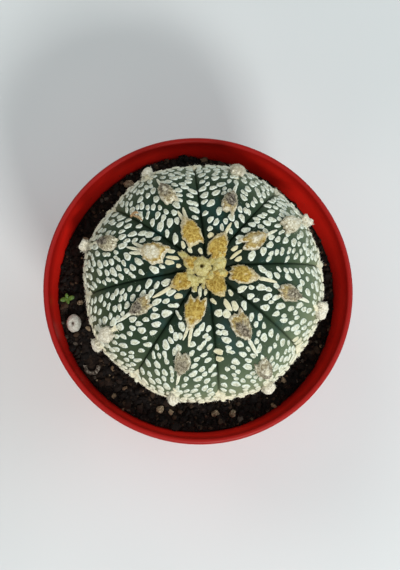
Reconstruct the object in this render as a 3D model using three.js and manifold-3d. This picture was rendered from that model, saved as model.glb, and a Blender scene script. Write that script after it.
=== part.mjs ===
// Super kabuto star cactus in its round plastic pot. Millimetres, +Z up.
// The origin is the middle of the pot's foot, on the surface that the pot stands on.
import * as THREE from 'three';
import { ConvexHull } from 'three/addons/math/ConvexHull.js';
import { mergeVertices } from 'three/addons/utils/BufferGeometryUtils.js';
import Module from 'manifold-3d';

const wasm = await Module();
wasm.setup();

const { degToRad, euclideanModulo, lerp, mapLinear, smoothstep } = THREE.MathUtils;
const gap = 0.3; // clearance between pieces that touch

const pot = {
  height: 68,
  rimRadius: 39,
  wall: 1.5,
  taper: Math.tan(degToRad(9.5)),
  collar: 13, // height of the thicker band under the rim
  collarTaper: Math.tan(degToRad(4)),
  footHeight: 2,
  footWidth: 2.3,
  floor: 1.6,
  floorFillet: 0.9,
  edge: 0.3, // small bevels at the foot and under the collar
  lipSteps: 5,
  sides: 56,
  drains: 6,
  drainRadius: 2.5,
  drainCircle: 15,
  notches: 4,
  notchWidth: 5,
  notchHeight: 1.2,
};

const soil = {
  level: 59,
  grain: 0.45, // height of the granular relief
  drift: 0.35, // how far its points stray sideways
  bevel: 1.5, // round edges of the packed body, at its foot and along the wall
  ringStep: 1.9,
  innerRing: 18,
  sides: 64,
  mounds: [ // broad rises and hollows along the wall
    { turn: degToRad(106), spread: degToRad(24), rise: 2.2 },
    { turn: degToRad(50), spread: degToRad(22), rise: -1.3 },
    { turn: degToRad(262), spread: degToRad(30), rise: 0.7 },
  ],
};

// The body is a flattened ball in the plant's own frame: its axis is Z and soil level is z = 0
const body = {
  radius: 29.3,
  widest: 12, // height of the widest ring above the soil
  rise: 19, // crown above the widest ring
  drop: 16, // underside below the widest ring
  sole: degToRad(158), // where the underside turns into the taproot
  grooveDepth: 1.3,
  grooveCurve: 3, // how squarely a rib's back turns down into its grooves
  shallowing: 0.4, // share of the depth that a groove loses on its way to the widest ring
  shallow: [degToRad(50), degToRad(90)], // tilts between which it does
  slit: 0.45, // depth of the sharp crease along a groove's floor
  grooveEnd: degToRad(138), // tilt at which the grooves begin to run out
  swellEnd: [degToRad(112), degToRad(132)], // tilts between which the ribs' swell runs out
  dimple: 1.6,
  dimpleRadius: 6,
};
const taproot = [[7.5, -5.5], [5, -10], [3.2, -17], [1.6, -25]]; // radius and height of its rings
const taprootTip = -28;
const plant = { x: 1.4, y: 0.8, leanX: degToRad(-0.4), leanY: degToRad(-2.6) };

// Ribs, clockwise seen from above: the turn of the groove where each begins, and how far its back
// swells past the round body. Each areole has its tilt from the crown, how far it lies to the left
// of the crest as seen from the crown, its length and its width.
const ribs = [
  {
    start: 142.5, swell: 0.5,
    areoles: [[19, -1, 8, 5.4], [45, -1, 7.2, 4.3], [78, -0.3, 5, 4.4], [110, 0, 5, 4.2]],
  },
  {
    start: 95.5, swell: -0.1,
    areoles: [[11.8, -1.1, 6.8, 4.8], [36, -0.6, 6.8, 4.3], [68, 0, 5.2, 4.4], [100, 0, 5, 4.2]],
  },
  {
    start: 50.5, swell: -0.4,
    areoles: [[27, 0.6, 7.2, 5], [54, 0.9, 7, 4.7], [79, 0.8, 5, 4.4], [108, 0, 5, 4.2]],
  },
  {
    start: 6.5, swell: 0,
    areoles: [[17.4, 0.9, 7.6, 4.7], [43.4, 0.2, 6.8, 4.5], [79, 0, 5, 4.4], [110, 0, 5, 4.2]],
  },
  {
    start: -37, swell: 0.4,
    areoles: [
      [9.3, 0.1, 6.3, 5.2], [32, 0.4, 7.2, 4.7], [62, 0.7, 6, 4.4], [88, 0.3, 5, 4.2],
      [116, 0, 5, 4.2],
    ],
  },
  {
    start: -83, swell: 0.3,
    areoles: [[21.3, -0.2, 6.9, 4.6], [48.5, 0, 6.2, 4.3], [82, 0, 5, 4.4], [112, 0, 5, 4.2]],
  },
  {
    start: -125.5, swell: 0.4,
    areoles: [
      [13.3, -0.3, 5.6, 4.8], [36, -0.5, 6.5, 4.3], [66, 0, 6, 5], [90, 0, 5, 4.2],
      [117, 0, 5, 4.2],
    ],
  },
  {
    start: -172, swell: 0.5,
    areoles: [
      [7.1, -0.5, 4.6, 3.6], [26, -0.5, 7.4, 6], [55, -1, 6.4, 4.3], [84, -0.5, 5, 4.2],
      [114, 0, 5, 4.2],
    ],
  },
];

const areole = {
  youngHeight: 1.5,
  oldHeight: 2.4,
  grown: degToRad(75), // tilt at which an areole has its old height
  top: 0.74, // size of its flat top
  shoulder: 0.78, // height of the top's edge
  ragged: 0.6, // height of the ragged end's edge
};
// Outline of an areole, from its ragged end by the crown to its narrow outer end, half size 1
const shield = [
  [-1, 0.6], [-0.66, 0.22], [-0.96, -0.02], [-0.68, -0.3], [-1, -0.66],
  [-0.2, -0.9], [0.5, -0.6], [1, 0], [0.5, 0.6], [-0.2, 0.9],
];
const streak = { start: 0.3, length: 3.8, least: 1.6, halfWidth: 0.38, height: 0.5 };
const fleck = {
  halfLength: 1.42,
  halfWidth: 1.02,
  height: 0.6,
  top: 0.8, // size of its flat top
  sides: 5,
  from: degToRad(14), // tilts between which flecks grow
  to: degToRad(125),
  young: 0.78, // size of those nearest the crown
  grown: [degToRad(12), degToRad(45)], // tilts between which they reach their full size
  sizes: [0.9, 1.08],
  ragged: [0.92, 1.1],
  slant: degToRad(42),
  straight: 3, // those nearer to the crest than this turn in line with it
  groovePath: 1, // bare skin kept beside each groove
  areolePath: 0.35,
  spacing: 2.64,
  crownSpacing: 2.2,
  tries: 20000,
};
// How many vertices a ring has, its radius, and its height above the skin
const grooveTuft = {
  tilt: degToRad(89), height: 0.5,
  slope: { count: 5, radius: 1.2, height: 0.3 },
  foot: { count: 7, radius: 1.7 },
};
const crownWool = {
  arc: 1.2, turn: degToRad(155), pit: 0.1,
  rings: [
    { count: 5, radius: 0.5, height: 0.9 },
    { count: 7, radius: 1.45, height: 1.1 },
    { count: 9, radius: 2.3, height: 0 },
  ],
};
const grooveLine = { start: 4, end: degToRad(150), pitch: 2, shoulder: 0.55, shoulderShare: 0.08 };
const underRings = [[142, 30], [149, 20]]; // tilt and number of vertices on the buried underside
const taprootSides = 12;
const plantSocket = { sides: 40, room: 1.6 * gap, from: 158, to: 102, step: 8 };

const bead = { x: -31.6, y: -8.4, size: [1.9, 2.3, 1.8], pit: 0.7 };
const curl = {
  x: -26.9, y: -19.4, outer: 2.1, inner: 1.2, height: 1,
  from: degToRad(170), to: degToRad(372),
};
const seedling = { x: -33.4, y: -2.2, stem: 0.45, height: 1.7, leaves: 4 };
const pebbles = [
  { x: -17.9, y: 28.2, size: [1.6, 1, 0.9] },
  { x: -9.5, y: -30.2, size: [1, 1.2, 0.9] },
  { x: 4.5, y: -31.1, size: [1.1, 0.9, 0.8] },
  { x: 8.9, y: -31.2, size: [0.9, 1.1, 0.9] },
  { x: -30.2, y: -3, size: [0.9, 0.7, 0.7] },
];

// A repeatable stream of numbers from 0 to 1
function randomStream(seed) {
  let state = seed;
  return () => {
    state = (Math.imul(state, 1664525) + 1013904223) >>> 0;
    return state / 2 ** 32;
  };
}

// Geometry helpers

function closed(geometry) {
  geometry.deleteAttribute('normal');
  geometry.deleteAttribute('uv');
  const merged = mergeVertices(geometry);
  const corners = merged.index.array;
  const kept = [];
  for (let i = 0; i < corners.length; i += 3) {
    const [a, b, c] = corners.slice(i, i + 3);
    if (a !== b && b !== c && c !== a) kept.push(a, b, c);
  }
  merged.setIndex(kept);
  return merged;
}

function solid(geometry) {
  const merged = geometry.index && !geometry.attributes.uv ? geometry : closed(geometry);
  return new wasm.Manifold(new wasm.Mesh({
    numProp: 3,
    vertProperties: new Float32Array(merged.attributes.position.array),
    triVerts: new Uint32Array(merged.index.array),
  }));
}

function geometryOf(manifold) {
  const mesh = manifold.getMesh();
  const geometry = new THREE.BufferGeometry();
  geometry.setAttribute('position', new THREE.BufferAttribute(mesh.vertProperties, 3));
  geometry.setIndex(new THREE.BufferAttribute(mesh.triVerts, 1));
  return geometry;
}

// A profile of [radius, height] pairs, turned about Z
function turned(profile, sides) {
  const points = profile.map(([radius, height]) => new THREE.Vector2(radius, height));
  return closed(new THREE.LatheGeometry(points, sides).rotateX(Math.PI / 2));
}

function cylinder(radius, length, x, y, z) {
  return new THREE.CylinderGeometry(radius, radius, length, 14).rotateX(Math.PI / 2).translate(x, y, z);
}

// Pot

const innerRadius = height => pot.rimRadius - pot.wall - (pot.height - height) * pot.taper;
const outerRadius = height => innerRadius(height) + pot.wall;
const floorTop = pot.footHeight + pot.floor;

function potGeometry() {
  const lip = pot.wall / 2;
  const lipHeight = pot.height - lip;
  const collarFoot = pot.height - pot.collar;
  const collarRadius = pot.rimRadius - pot.collar * pot.collarTaper;
  const profile = [
    [0, pot.footHeight],
    [outerRadius(0) - pot.footWidth, pot.footHeight],
    [outerRadius(0) - pot.footWidth, 0],
    [outerRadius(0) - pot.edge, 0],
    [outerRadius(pot.edge), pot.edge],
    [outerRadius(collarFoot - pot.edge), collarFoot - pot.edge],
    [collarRadius - pot.edge, collarFoot],
    [collarRadius, collarFoot + pot.edge],
  ];
  for (let step = 0; step <= pot.lipSteps; step += 1) {
    const angle = Math.PI * step / pot.lipSteps;
    profile.push([pot.rimRadius - lip + lip * Math.cos(angle), lipHeight + lip * Math.sin(angle)]);
  }
  profile.push([innerRadius(floorTop + pot.floorFillet), floorTop + pot.floorFillet]);
  profile.push([innerRadius(floorTop) - pot.floorFillet, floorTop]);
  profile.push([0, floorTop]);
  let shell = solid(turned(profile, pot.sides));
  const through = 2 * floorTop;
  for (let hole = 0; hole < pot.drains; hole += 1) {
    const turn = 2 * Math.PI * (hole + 0.5) / pot.drains;
    const [x, y] = [pot.drainCircle * Math.cos(turn), pot.drainCircle * Math.sin(turn)];
    shell = shell.subtract(solid(cylinder(pot.drainRadius, through, x, y, through / 2)));
  }
  shell = shell.subtract(solid(cylinder(pot.drainRadius, through, 0, 0, through / 2)));
  for (let notch = 0; notch < pot.notches; notch += 1) {
    const cut = new THREE.BoxGeometry(4 * pot.footWidth, pot.notchWidth, 2 * pot.notchHeight);
    cut.translate(outerRadius(0), 0, 0).rotateZ(2 * Math.PI * (notch + 0.5) / pot.notches);
    shell = shell.subtract(solid(cut));
  }
  return geometryOf(shell);
}

// Surface of the soil, without its grains

function soilHeight(x, y) {
  const turn = Math.atan2(y, x);
  const byWall = smoothstep(Math.hypot(x, y), 20, 34);
  const rises = soil.mounds.map(({ turn: middle, spread, rise }) => {
    const off = euclideanModulo(turn - middle + Math.PI, 2 * Math.PI) - Math.PI;
    return rise * Math.exp(-((off / spread) ** 2));
  });
  return soil.level + byWall * rises.reduce((sum, rise) => sum + rise, 0);
}

// Cactus skin

const plantPlace = new THREE.Matrix4().compose(
  new THREE.Vector3(plant.x, plant.y, soil.level),
  new THREE.Quaternion().setFromEuler(new THREE.Euler(plant.leanX, plant.leanY, 0)),
  new THREE.Vector3(1, 1, 1),
);

const quarterTurn = Math.PI / 2;

function smoothSkin(tilt) {
  const fall = tilt < quarterTurn ? body.rise : body.drop;
  const normal = new THREE.Vector2(fall * Math.sin(tilt), body.radius * Math.cos(tilt)).normalize();
  return { radius: body.radius * Math.sin(tilt), height: body.widest + fall * Math.cos(tilt), normal };
}

// The meridian is walked from the crown down. Each row has the tilt, the arc length from the
// crown, and the tilt on a plain ball on which small shapes keep their proportions.
function walkMeridian() {
  const rows = [{ tilt: 0, arc: 0, ball: 0 }];
  const step = degToRad(0.5);
  let last = smoothSkin(step);
  let arc = last.radius;
  let scale = 0;
  const scales = [scale];
  for (let tilt = step; tilt <= body.sole + step; tilt += step) {
    const here = smoothSkin(tilt);
    const stretch = Math.hypot(here.radius - last.radius, here.height - last.height);
    arc += stretch;
    scale += stretch / ((here.radius + last.radius) / 2);
    rows.push({ tilt, arc });
    scales.push(scale);
    last = here;
  }
  const middle = scales[rows.findIndex(row => row.tilt >= quarterTurn)];
  rows.forEach((row, index) => {
    if (index > 0) row.ball = 2 * Math.atan(Math.exp(scales[index] - middle));
  });
  return rows;
}
const meridian = walkMeridian();

function readMeridian(known, value, wanted) {
  const found = meridian.findIndex((row, index) => index > 0 && row[known] >= value);
  const high = meridian[found < 0 ? meridian.length - 1 : found];
  const low = meridian[found < 0 ? meridian.length - 2 : found - 1];
  return mapLinear(value, low[known], high[known], low[wanted], high[wanted]);
}

ribs.forEach((rib, index) => {
  const next = ribs[(index + 1) % ribs.length].start;
  rib.width = euclideanModulo(degToRad(rib.start - next), 2 * Math.PI);
  rib.crest = degToRad(rib.start) - rib.width / 2;
});

// The rib that a turn lies on, and how far across it, from -1 at one groove to 1 at the next
function ribAt(turn) {
  const inside = rib => euclideanModulo(degToRad(rib.start) - turn, 2 * Math.PI);
  const rib = ribs.find(each => inside(each) <= each.width + 1e-9) ?? ribs[0];
  return { rib, across: 2 * inside(rib) / rib.width - 1 };
}

function grooveDepth(tilt) {
  const deepening = Math.sin(tilt) ** 0.6;
  const shallowing = 1 - body.shallowing * smoothstep(tilt, ...body.shallow);
  return body.grooveDepth * deepening * shallowing * (1 - smoothstep(tilt, body.grooveEnd, body.sole));
}

// Height of the bare skin above the flattened ball
function relief(tilt, turn) {
  const { rib, across } = ribAt(turn);
  const groove = grooveDepth(tilt) * (1 - Math.sqrt(Math.max(0, 1 - Math.abs(across) ** body.grooveCurve)));
  const aboveSoil = 1 - smoothstep(tilt, ...body.swellEnd);
  const swell = rib.swell * Math.cos(across * quarterTurn) ** 2 * Math.sin(tilt) ** 2 * aboveSoil;
  const dimple = body.dimple * Math.exp(-((smoothSkin(tilt).radius / body.dimpleRadius) ** 2));
  return swell - groove - dimple;
}

function skinPlace(tilt, turn, out) {
  const { radius, height, normal } = smoothSkin(tilt);
  const reach = radius + out * normal.x;
  return new THREE.Vector3(reach * Math.cos(turn), reach * Math.sin(turn), height + out * normal.y);
}

// The spot that lies so many millimetres outward and to the left of another one, on the skin
function beside(spot, outward, left) {
  const arc = readMeridian('tilt', spot.tilt, 'arc');
  const x = arc + outward;
  const y = left * arc / smoothSkin(spot.tilt).radius;
  return { tilt: readMeridian('arc', Math.hypot(x, y), 'tilt'), turn: spot.turn + Math.atan2(y, x) };
}

// What stands out from the skin keeps clear of the soil's grains
function clearOfSoil(spot) {
  const foot = skinPlace(spot.tilt, spot.turn, 0).applyMatrix4(plantPlace);
  return foot.z > soilHeight(foot.x, foot.y) + soil.grain + 1;
}

// Vertices of the skin: a place in space, and the direction on the plain ball that joins them up
const vertices = [];
const closest = 0.2;

function addVertex(spot, out) {
  const foot = skinPlace(spot.tilt, spot.turn, relief(spot.tilt, spot.turn));
  if (vertices.some(other => other.foot.distanceTo(foot) < closest)) return;
  const ball = readMeridian('tilt', spot.tilt, 'ball');
  vertices.push({
    foot,
    place: skinPlace(spot.tilt, spot.turn, out),
    direction: new THREE.Vector3().setFromSphericalCoords(1, ball, spot.turn),
  });
}

function raise(spot, lift) {
  addVertex(spot, relief(spot.tilt, spot.turn) + lift);
}

// Areoles: felt shields on the crests, with a pale streak running on outward from each

function areoleList() {
  const list = [];
  for (const rib of ribs) {
    const arcs = rib.areoles.map(([degrees]) => readMeridian('tilt', degToRad(degrees), 'arc'));
    rib.areoles.forEach(([degrees, left, length, width], index) => {
      const tilt = degToRad(degrees);
      const age = Math.min(1, tilt / areole.grown);
      const next = rib.areoles[index + 1];
      list.push({
        spot: beside({ tilt, turn: rib.crest }, 0, left),
        halfLength: length / 2,
        halfWidth: width / 2,
        height: lerp(areole.youngHeight, areole.oldHeight, age),
        room: next ? arcs[index + 1] - next[2] / 2 - arcs[index] : Infinity,
      });
    });
  }
  const standing = list.filter(pad => clearOfSoil(beside(pad.spot, pad.halfLength, 0)));
  return standing.sort((one, other) => one.spot.tilt - other.spot.tilt);
}
const areoles = areoleList();

// How far a spot lies from the middle of an areole: 1 is about on its outline
function nearness(pad, foot, margin) {
  const middle = skinPlace(pad.spot.tilt, pad.spot.turn, 0);
  const outward = skinPlace(pad.spot.tilt + 0.01, pad.spot.turn, 0).sub(middle).normalize();
  const offset = foot.clone().sub(middle);
  const along = offset.dot(outward);
  const aside = Math.sqrt(Math.max(0, offset.lengthSq() - along ** 2));
  return Math.hypot(along / (pad.halfLength + margin), aside / (pad.halfWidth + margin));
}

function addAreoles() {
  areoles.forEach((pad, index) => {
    const free = spot => areoles.slice(0, index).every(
      other => nearness(other, skinPlace(spot.tilt, spot.turn, 0), 0) > 1);
    const at = (x, y) => beside(pad.spot, x * pad.halfLength, y * pad.halfWidth);
    for (const [x, y] of shield) {
      const edge = at(x, y);
      const shoulder = at(x * areole.top, y * areole.top);
      if (free(edge)) raise(edge, 0);
      if (free(shoulder)) raise(shoulder, pad.height * (x < -0.5 ? areole.ragged : areole.shoulder));
    }
    for (const [x, y] of [[-0.3, 0.3], [-0.3, -0.3], [0.3, 0]]) {
      if (free(at(x, y))) raise(at(x, y), pad.height);
    }
    const start = pad.halfLength + streak.start;
    const end = Math.min(start + streak.length, pad.room - streak.start);
    if (end - start < streak.least || !clearOfSoil(beside(pad.spot, end, 0))) return;
    for (const side of [-1, 1]) {
      raise(beside(pad.spot, start, side * streak.halfWidth), 0);
      raise(beside(pad.spot, end, side * streak.halfWidth * 0.6), 0);
    }
    raise(beside(pad.spot, start + 0.3, 0), streak.height);
    raise(beside(pad.spot, end - 0.4, 0), streak.height);
  });
}

// Wool of the crown, round a small pit, and the tufts at the lower ends of the grooves

function addWool() {
  const crown = { tilt: readMeridian('arc', crownWool.arc, 'tilt'), turn: crownWool.turn };
  const outside = spot => areoles.every(pad => nearness(pad, skinPlace(spot.tilt, spot.turn, 0), 0) > 1);
  const ring = (spot, { count, radius }, action) => {
    for (let step = 0; step < count; step += 1) {
      const angle = 2 * Math.PI * step / count;
      const place = beside(spot, radius * Math.cos(angle), radius * Math.sin(angle));
      if (outside(place)) action(place);
    }
  };
  raise(crown, crownWool.pit);
  for (const each of crownWool.rings) ring(crown, each, spot => raise(spot, each.height));
  for (const rib of ribs) {
    const spot = { tilt: grooveTuft.tilt, turn: degToRad(rib.start) };
    addVertex(spot, grooveTuft.height);
    ring(spot, grooveTuft.slope, each => addVertex(each, grooveTuft.slope.height));
    ring(spot, grooveTuft.foot, each => raise(each, 0));
  }
}

// Grooves: a line of vertices along each floor, with one along each shoulder

function addGrooves() {
  const end = readMeridian('tilt', grooveLine.end, 'arc');
  for (const rib of ribs) {
    const floor = degToRad(rib.start);
    for (let arc = grooveLine.start; arc < end; arc += grooveLine.pitch) {
      const spot = { tilt: readMeridian('arc', arc, 'tilt'), turn: floor };
      const halfRib = smoothSkin(spot.tilt).radius * Math.PI / ribs.length;
      const shoulder = Math.max(grooveLine.shoulder, grooveLine.shoulderShare * halfRib);
      raise(spot, -body.slit);
      raise(beside(spot, 0, shoulder), 0);
      raise(beside(spot, 0, -shoulder), 0);
    }
  }
}

// Felt flecks: short ovals in a herringbone that points outward along each crest

function addFlecks() {
  const random = randomStream(20);
  const placed = [];
  const first = readMeridian('tilt', fleck.from, 'arc');
  const last = readMeridian('tilt', fleck.to, 'arc');
  for (let trial = 0; trial < fleck.tries; trial += 1) {
    const arc = lerp(first, last, random());
    const spot = { tilt: readMeridian('arc', arc, 'tilt'), turn: 2 * Math.PI * random() };
    const { radius } = smoothSkin(spot.tilt);
    const { rib, across } = ribAt(spot.turn);
    const halfRib = radius * rib.width / 2;
    const grown = smoothstep(spot.tilt, ...fleck.grown);
    const size = lerp(fleck.young, 1, grown) * lerp(...fleck.sizes, random());
    const foot = skinPlace(spot.tilt, spot.turn, 0);
    if (random() > radius / body.radius) continue;
    if (!clearOfSoil(beside(spot, fleck.halfLength, 0))) continue;
    if ((1 - Math.abs(across)) * halfRib < fleck.halfWidth * size + fleck.groovePath) continue;
    const margin = fleck.halfWidth * size + fleck.areolePath;
    if (areoles.some(pad => nearness(pad, foot, margin) < 1)) continue;
    const fromCrest = -across * halfRib;
    const slant = -Math.sign(fromCrest) * fleck.slant * Math.min(1, Math.abs(fromCrest) / fleck.straight);
    const ahead = beside(spot, 0.5 * Math.cos(slant), 0.5 * Math.sin(slant));
    const axis = skinPlace(ahead.tilt, ahead.turn, 0).sub(foot).normalize();
    const spacing = lerp(fleck.crownSpacing, fleck.spacing, grown);
    const crowded = placed.some(other => {
      const offset = foot.clone().sub(other.foot);
      const along = offset.dot(other.axis);
      const aside = Math.sqrt(Math.max(0, offset.lengthSq() - along ** 2));
      return Math.hypot(along / 1.2, aside / 0.87) < spacing;
    });
    if (crowded) continue;
    placed.push({ foot, axis });
    const start = 2 * Math.PI * random();
    for (let side = 0; side < fleck.sides; side += 1) {
      const angle = start + 2 * Math.PI * side / fleck.sides;
      const ragged = size * lerp(...fleck.ragged, random());
      const long = fleck.halfLength * ragged * Math.cos(angle);
      const wide = fleck.halfWidth * ragged * Math.sin(angle);
      const outward = long * Math.cos(slant) - wide * Math.sin(slant);
      const left = long * Math.sin(slant) + wide * Math.cos(slant);
      raise(beside(spot, outward, left), 0);
      raise(beside(spot, outward * fleck.top, left * fleck.top), fleck.height);
    }
  }
}

// The bare underside below the soil, and the taproot

function addRoot() {
  for (const [degrees, count] of underRings) {
    for (let step = 0; step < count; step += 1) {
      raise({ tilt: degToRad(degrees), turn: 2 * Math.PI * (step + 0.5) / count }, 0);
    }
  }
  const sole = smoothSkin(body.sole);
  const soleBall = readMeridian('tilt', body.sole, 'ball');
  const profile = [[sole.radius, sole.height], ...taproot];
  profile.forEach(([radius, height], row) => {
    const ball = lerp(soleBall, Math.PI, row / profile.length);
    for (let step = 0; step < taprootSides; step += 1) {
      const turn = 2 * Math.PI * step / taprootSides;
      const place = new THREE.Vector3(radius * Math.cos(turn), radius * Math.sin(turn), height);
      const direction = new THREE.Vector3().setFromSphericalCoords(1, ball, turn);
      vertices.push({ foot: place, place, direction });
    }
  });
  const tip = new THREE.Vector3(0, 0, taprootTip);
  const down = new THREE.Vector3().setFromSphericalCoords(1, Math.PI, 0);
  vertices.push({ foot: tip, place: tip, direction: down });
}

function cactusGeometry() {
  addAreoles();
  addWool();
  addGrooves();
  addFlecks();
  addRoot();
  const index = new Map(vertices.map((vertex, number) => [vertex.direction, number]));
  const hull = new ConvexHull().setFromPoints(vertices.map(vertex => vertex.direction));
  const corners = [];
  for (const face of hull.faces) {
    const start = face.edge;
    for (const edge of [start, start.next, start.next.next]) corners.push(index.get(edge.head().point));
  }
  const geometry = new THREE.BufferGeometry().setFromPoints(vertices.map(vertex => vertex.place));
  geometry.setIndex(corners);
  return geometry;
}

// The room that the plant takes up in the soil: its smooth outline, grown by the clearance
function plantSocketGeometry() {
  const { sides, room } = plantSocket;
  const profile = [[0, taprootTip - 2 * room]];
  for (const [radius, height] of [...taproot].reverse()) profile.push([radius + room, height - room]);
  for (let degrees = plantSocket.from; degrees >= plantSocket.to; degrees -= plantSocket.step) {
    const { radius, height, normal } = smoothSkin(degToRad(degrees));
    profile.push([radius + room * normal.x, height + room * normal.y]);
  }
  profile.push([body.radius + room, body.widest]);
  profile.push([0, body.widest]);
  const rounded = profile.map(([radius, height]) => [radius / Math.cos(Math.PI / sides), height]);
  return turned(rounded, sides).applyMatrix4(plantPlace);
}

// Soil

function soilGeometry(sockets) {
  const random = randomStream(7);
  const edge = innerRadius(soil.level) - gap;
  const foot = floorTop + gap;
  const profile = [[0, foot], [innerRadius(foot) - soil.bevel, foot]];
  profile.push([innerRadius(foot + soil.bevel) - gap, foot + soil.bevel]);
  profile.push([innerRadius(soil.level - soil.bevel) - gap, soil.level - soil.bevel]);
  for (let radius = edge; radius > soil.innerRing; radius -= soil.ringStep) {
    profile.push([radius, soil.level]);
  }
  profile.push([0, soil.level]);
  const filling = turned(profile, soil.sides);
  const places = filling.attributes.position;
  for (let i = 0; i < places.count; i += 1) {
    const [x, y, z] = [places.getX(i), places.getY(i), places.getZ(i)];
    const radius = Math.hypot(x, y);
    if (z < soil.level - 0.01) continue;
    const atWall = radius > edge - 0.01;
    const drift = atWall || radius < 1 ? 0 : soil.drift;
    places.setX(i, x + drift * (2 * random() - 1));
    places.setY(i, y + drift * (2 * random() - 1));
    places.setZ(i, soilHeight(x, y) + soil.grain * (2 * random() - 1));
  }
  let packed = solid(filling);
  for (const socket of sockets) packed = packed.subtract(solid(socket));
  return geometryOf(packed);
}

// Small things that lie on the soil

function stoneGeometry({ x, y, size }, seed, grow = 0) {
  const random = randomStream(seed);
  const geometry = closed(new THREE.IcosahedronGeometry(1, 1));
  const places = geometry.attributes.position;
  for (let i = 0; i < places.count; i += 1) {
    const ragged = 0.86 + 0.2 * random();
    places.setXYZ(i, places.getX(i) * ragged, places.getY(i) * ragged, places.getZ(i) * ragged);
  }
  geometry.scale(size[0] + grow, size[1] + grow, size[2] + grow);
  return geometry.translate(x, y, soilHeight(x, y) + size[2] * 0.25);
}

function beadGeometry(grow = 0) {
  const geometry = closed(new THREE.IcosahedronGeometry(1, 2));
  const places = geometry.attributes.position;
  const pitTop = new THREE.Vector3(-0.25, -0.12, 1).normalize();
  for (let i = 0; i < places.count; i += 1) {
    const point = new THREE.Vector3().fromBufferAttribute(places, i);
    const offPit = point.distanceTo(pitTop) * bead.size[0];
    const dent = grow > 0 ? 0 : 0.45 * (1 - smoothstep(offPit, bead.pit * 0.5, bead.pit * 1.6));
    point.multiplyScalar(1 - dent);
    places.setXYZ(i, point.x, point.y, point.z);
  }
  geometry.scale(bead.size[0] + grow, bead.size[1] + grow, bead.size[2] + grow);
  return geometry.translate(bead.x, bead.y, soilHeight(bead.x, bead.y) + bead.size[2] * 0.55);
}

function curlGeometry(grow = 0) {
  const band = new THREE.Shape();
  const extra = grow / curl.inner;
  band.absarc(0, 0, curl.outer + grow, curl.from - extra, curl.to + extra, false);
  band.absarc(0, 0, curl.inner - grow, curl.to + extra, curl.from - extra, true);
  const depth = curl.height + 2 * grow;
  const geometry = new THREE.ExtrudeGeometry(band, { depth, bevelEnabled: false, curveSegments: 12 });
  return geometry.translate(curl.x, curl.y, soilHeight(curl.x, curl.y) - 0.5 - grow);
}

function seedlingGeometry() {
  const ground = soilHeight(seedling.x, seedling.y);
  const top = ground + seedling.height;
  const stemFoot = ground - 2;
  const stem = cylinder(seedling.stem, top - stemFoot, seedling.x, seedling.y, (top + stemFoot) / 2);
  let whole = solid(stem);
  for (let leaf = 0; leaf < seedling.leaves; leaf += 1) {
    const turn = 2 * Math.PI * (leaf + 0.15) / seedling.leaves;
    const size = leaf % 2 ? 0.75 : 1;
    const blade = new THREE.SphereGeometry(1, 7, 5).scale(1.1 * size, 0.62 * size, 0.32);
    blade.rotateY(-0.35).translate(0.85 * size, 0, 0).rotateZ(turn);
    blade.translate(seedling.x, seedling.y, top - 0.1);
    whole = whole.add(solid(blade));
  }
  return geometryOf(whole);
}

function seedlingSocket() {
  const ground = soilHeight(seedling.x, seedling.y);
  return cylinder(seedling.stem + gap, 5, seedling.x, seedling.y, ground + 2.5 - 2 - gap);
}

// Assembly

const finish = (color, roughness) => new THREE.MeshStandardMaterial({ color, roughness, metalness: 0 });

function mesh(name, geometry, material) {
  const piece = new THREE.Mesh(geometry, material);
  piece.name = name;
  return piece;
}

const stoneSeed = index => 31 + index;
const sockets = [
  plantSocketGeometry(),
  beadGeometry(gap),
  curlGeometry(gap),
  seedlingSocket(),
  ...pebbles.map((pebble, index) => stoneGeometry(pebble, stoneSeed(index), gap)),
];

const cactus = mesh('cactus', cactusGeometry(), finish(0x3d5a4b, 0.7));
cactus.applyMatrix4(plantPlace);

const group = new THREE.Group();
group.add(
  mesh('pot', potGeometry(), finish(0xc8171a, 0.35)),
  mesh('soil', soilGeometry(sockets), finish(0x2a211c, 0.95)),
  cactus,
  mesh('perlite_bead', beadGeometry(), finish(0xd6d8cf, 0.8)),
  mesh('bark_curl', curlGeometry(), finish(0x6b5a4c, 0.9)),
  mesh('seedling', seedlingGeometry(), finish(0x5f8a1f, 0.6)),
  ...pebbles.map((pebble, index) => (
    mesh(`pebble_${index + 1}`, stoneGeometry(pebble, stoneSeed(index)), finish(0xa08a6c, 0.85)))),
);

export default group;
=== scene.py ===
import random
from bisect import bisect_left
from itertools import product
from math import atan2, copysign, cos, degrees, exp, floor, hypot, inf, pi, radians, sin, sqrt, tan

import bmesh
import bpy
from mathutils import Matrix, Vector, noise


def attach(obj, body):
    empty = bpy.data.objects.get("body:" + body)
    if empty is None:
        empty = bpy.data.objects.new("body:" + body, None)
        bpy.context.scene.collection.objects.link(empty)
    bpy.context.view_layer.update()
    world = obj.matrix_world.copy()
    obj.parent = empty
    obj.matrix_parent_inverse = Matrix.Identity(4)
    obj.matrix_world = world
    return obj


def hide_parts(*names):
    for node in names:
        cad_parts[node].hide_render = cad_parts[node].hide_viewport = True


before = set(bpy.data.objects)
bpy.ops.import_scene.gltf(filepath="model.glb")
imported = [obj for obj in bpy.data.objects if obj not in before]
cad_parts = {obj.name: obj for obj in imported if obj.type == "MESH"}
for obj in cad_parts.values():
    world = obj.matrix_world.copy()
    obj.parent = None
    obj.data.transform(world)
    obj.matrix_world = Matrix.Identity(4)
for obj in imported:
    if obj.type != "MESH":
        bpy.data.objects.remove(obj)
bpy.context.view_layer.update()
mm = 0.001  # pieces are shaped in millimetres and scaled when they are finished
fullTurn = 2 * pi


def mixed(low, high, share):
    return low + (high - low) * share


def eased(value, low, high):
    share = min(1, max(0, (value - low) / (high - low)))
    return share * share * (3 - 2 * share)


def blunted(value, power):  # a signed value to a power, for outlines blunter than an ellipse
    return copysign(abs(value) ** power, value)


def lumps(place, size, offset=0):  # smooth noise from -1 to 1, with lumps of that size
    return noise.noise(Vector(place) / size + Vector((offset, 7.3 * offset, 0)))


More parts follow.
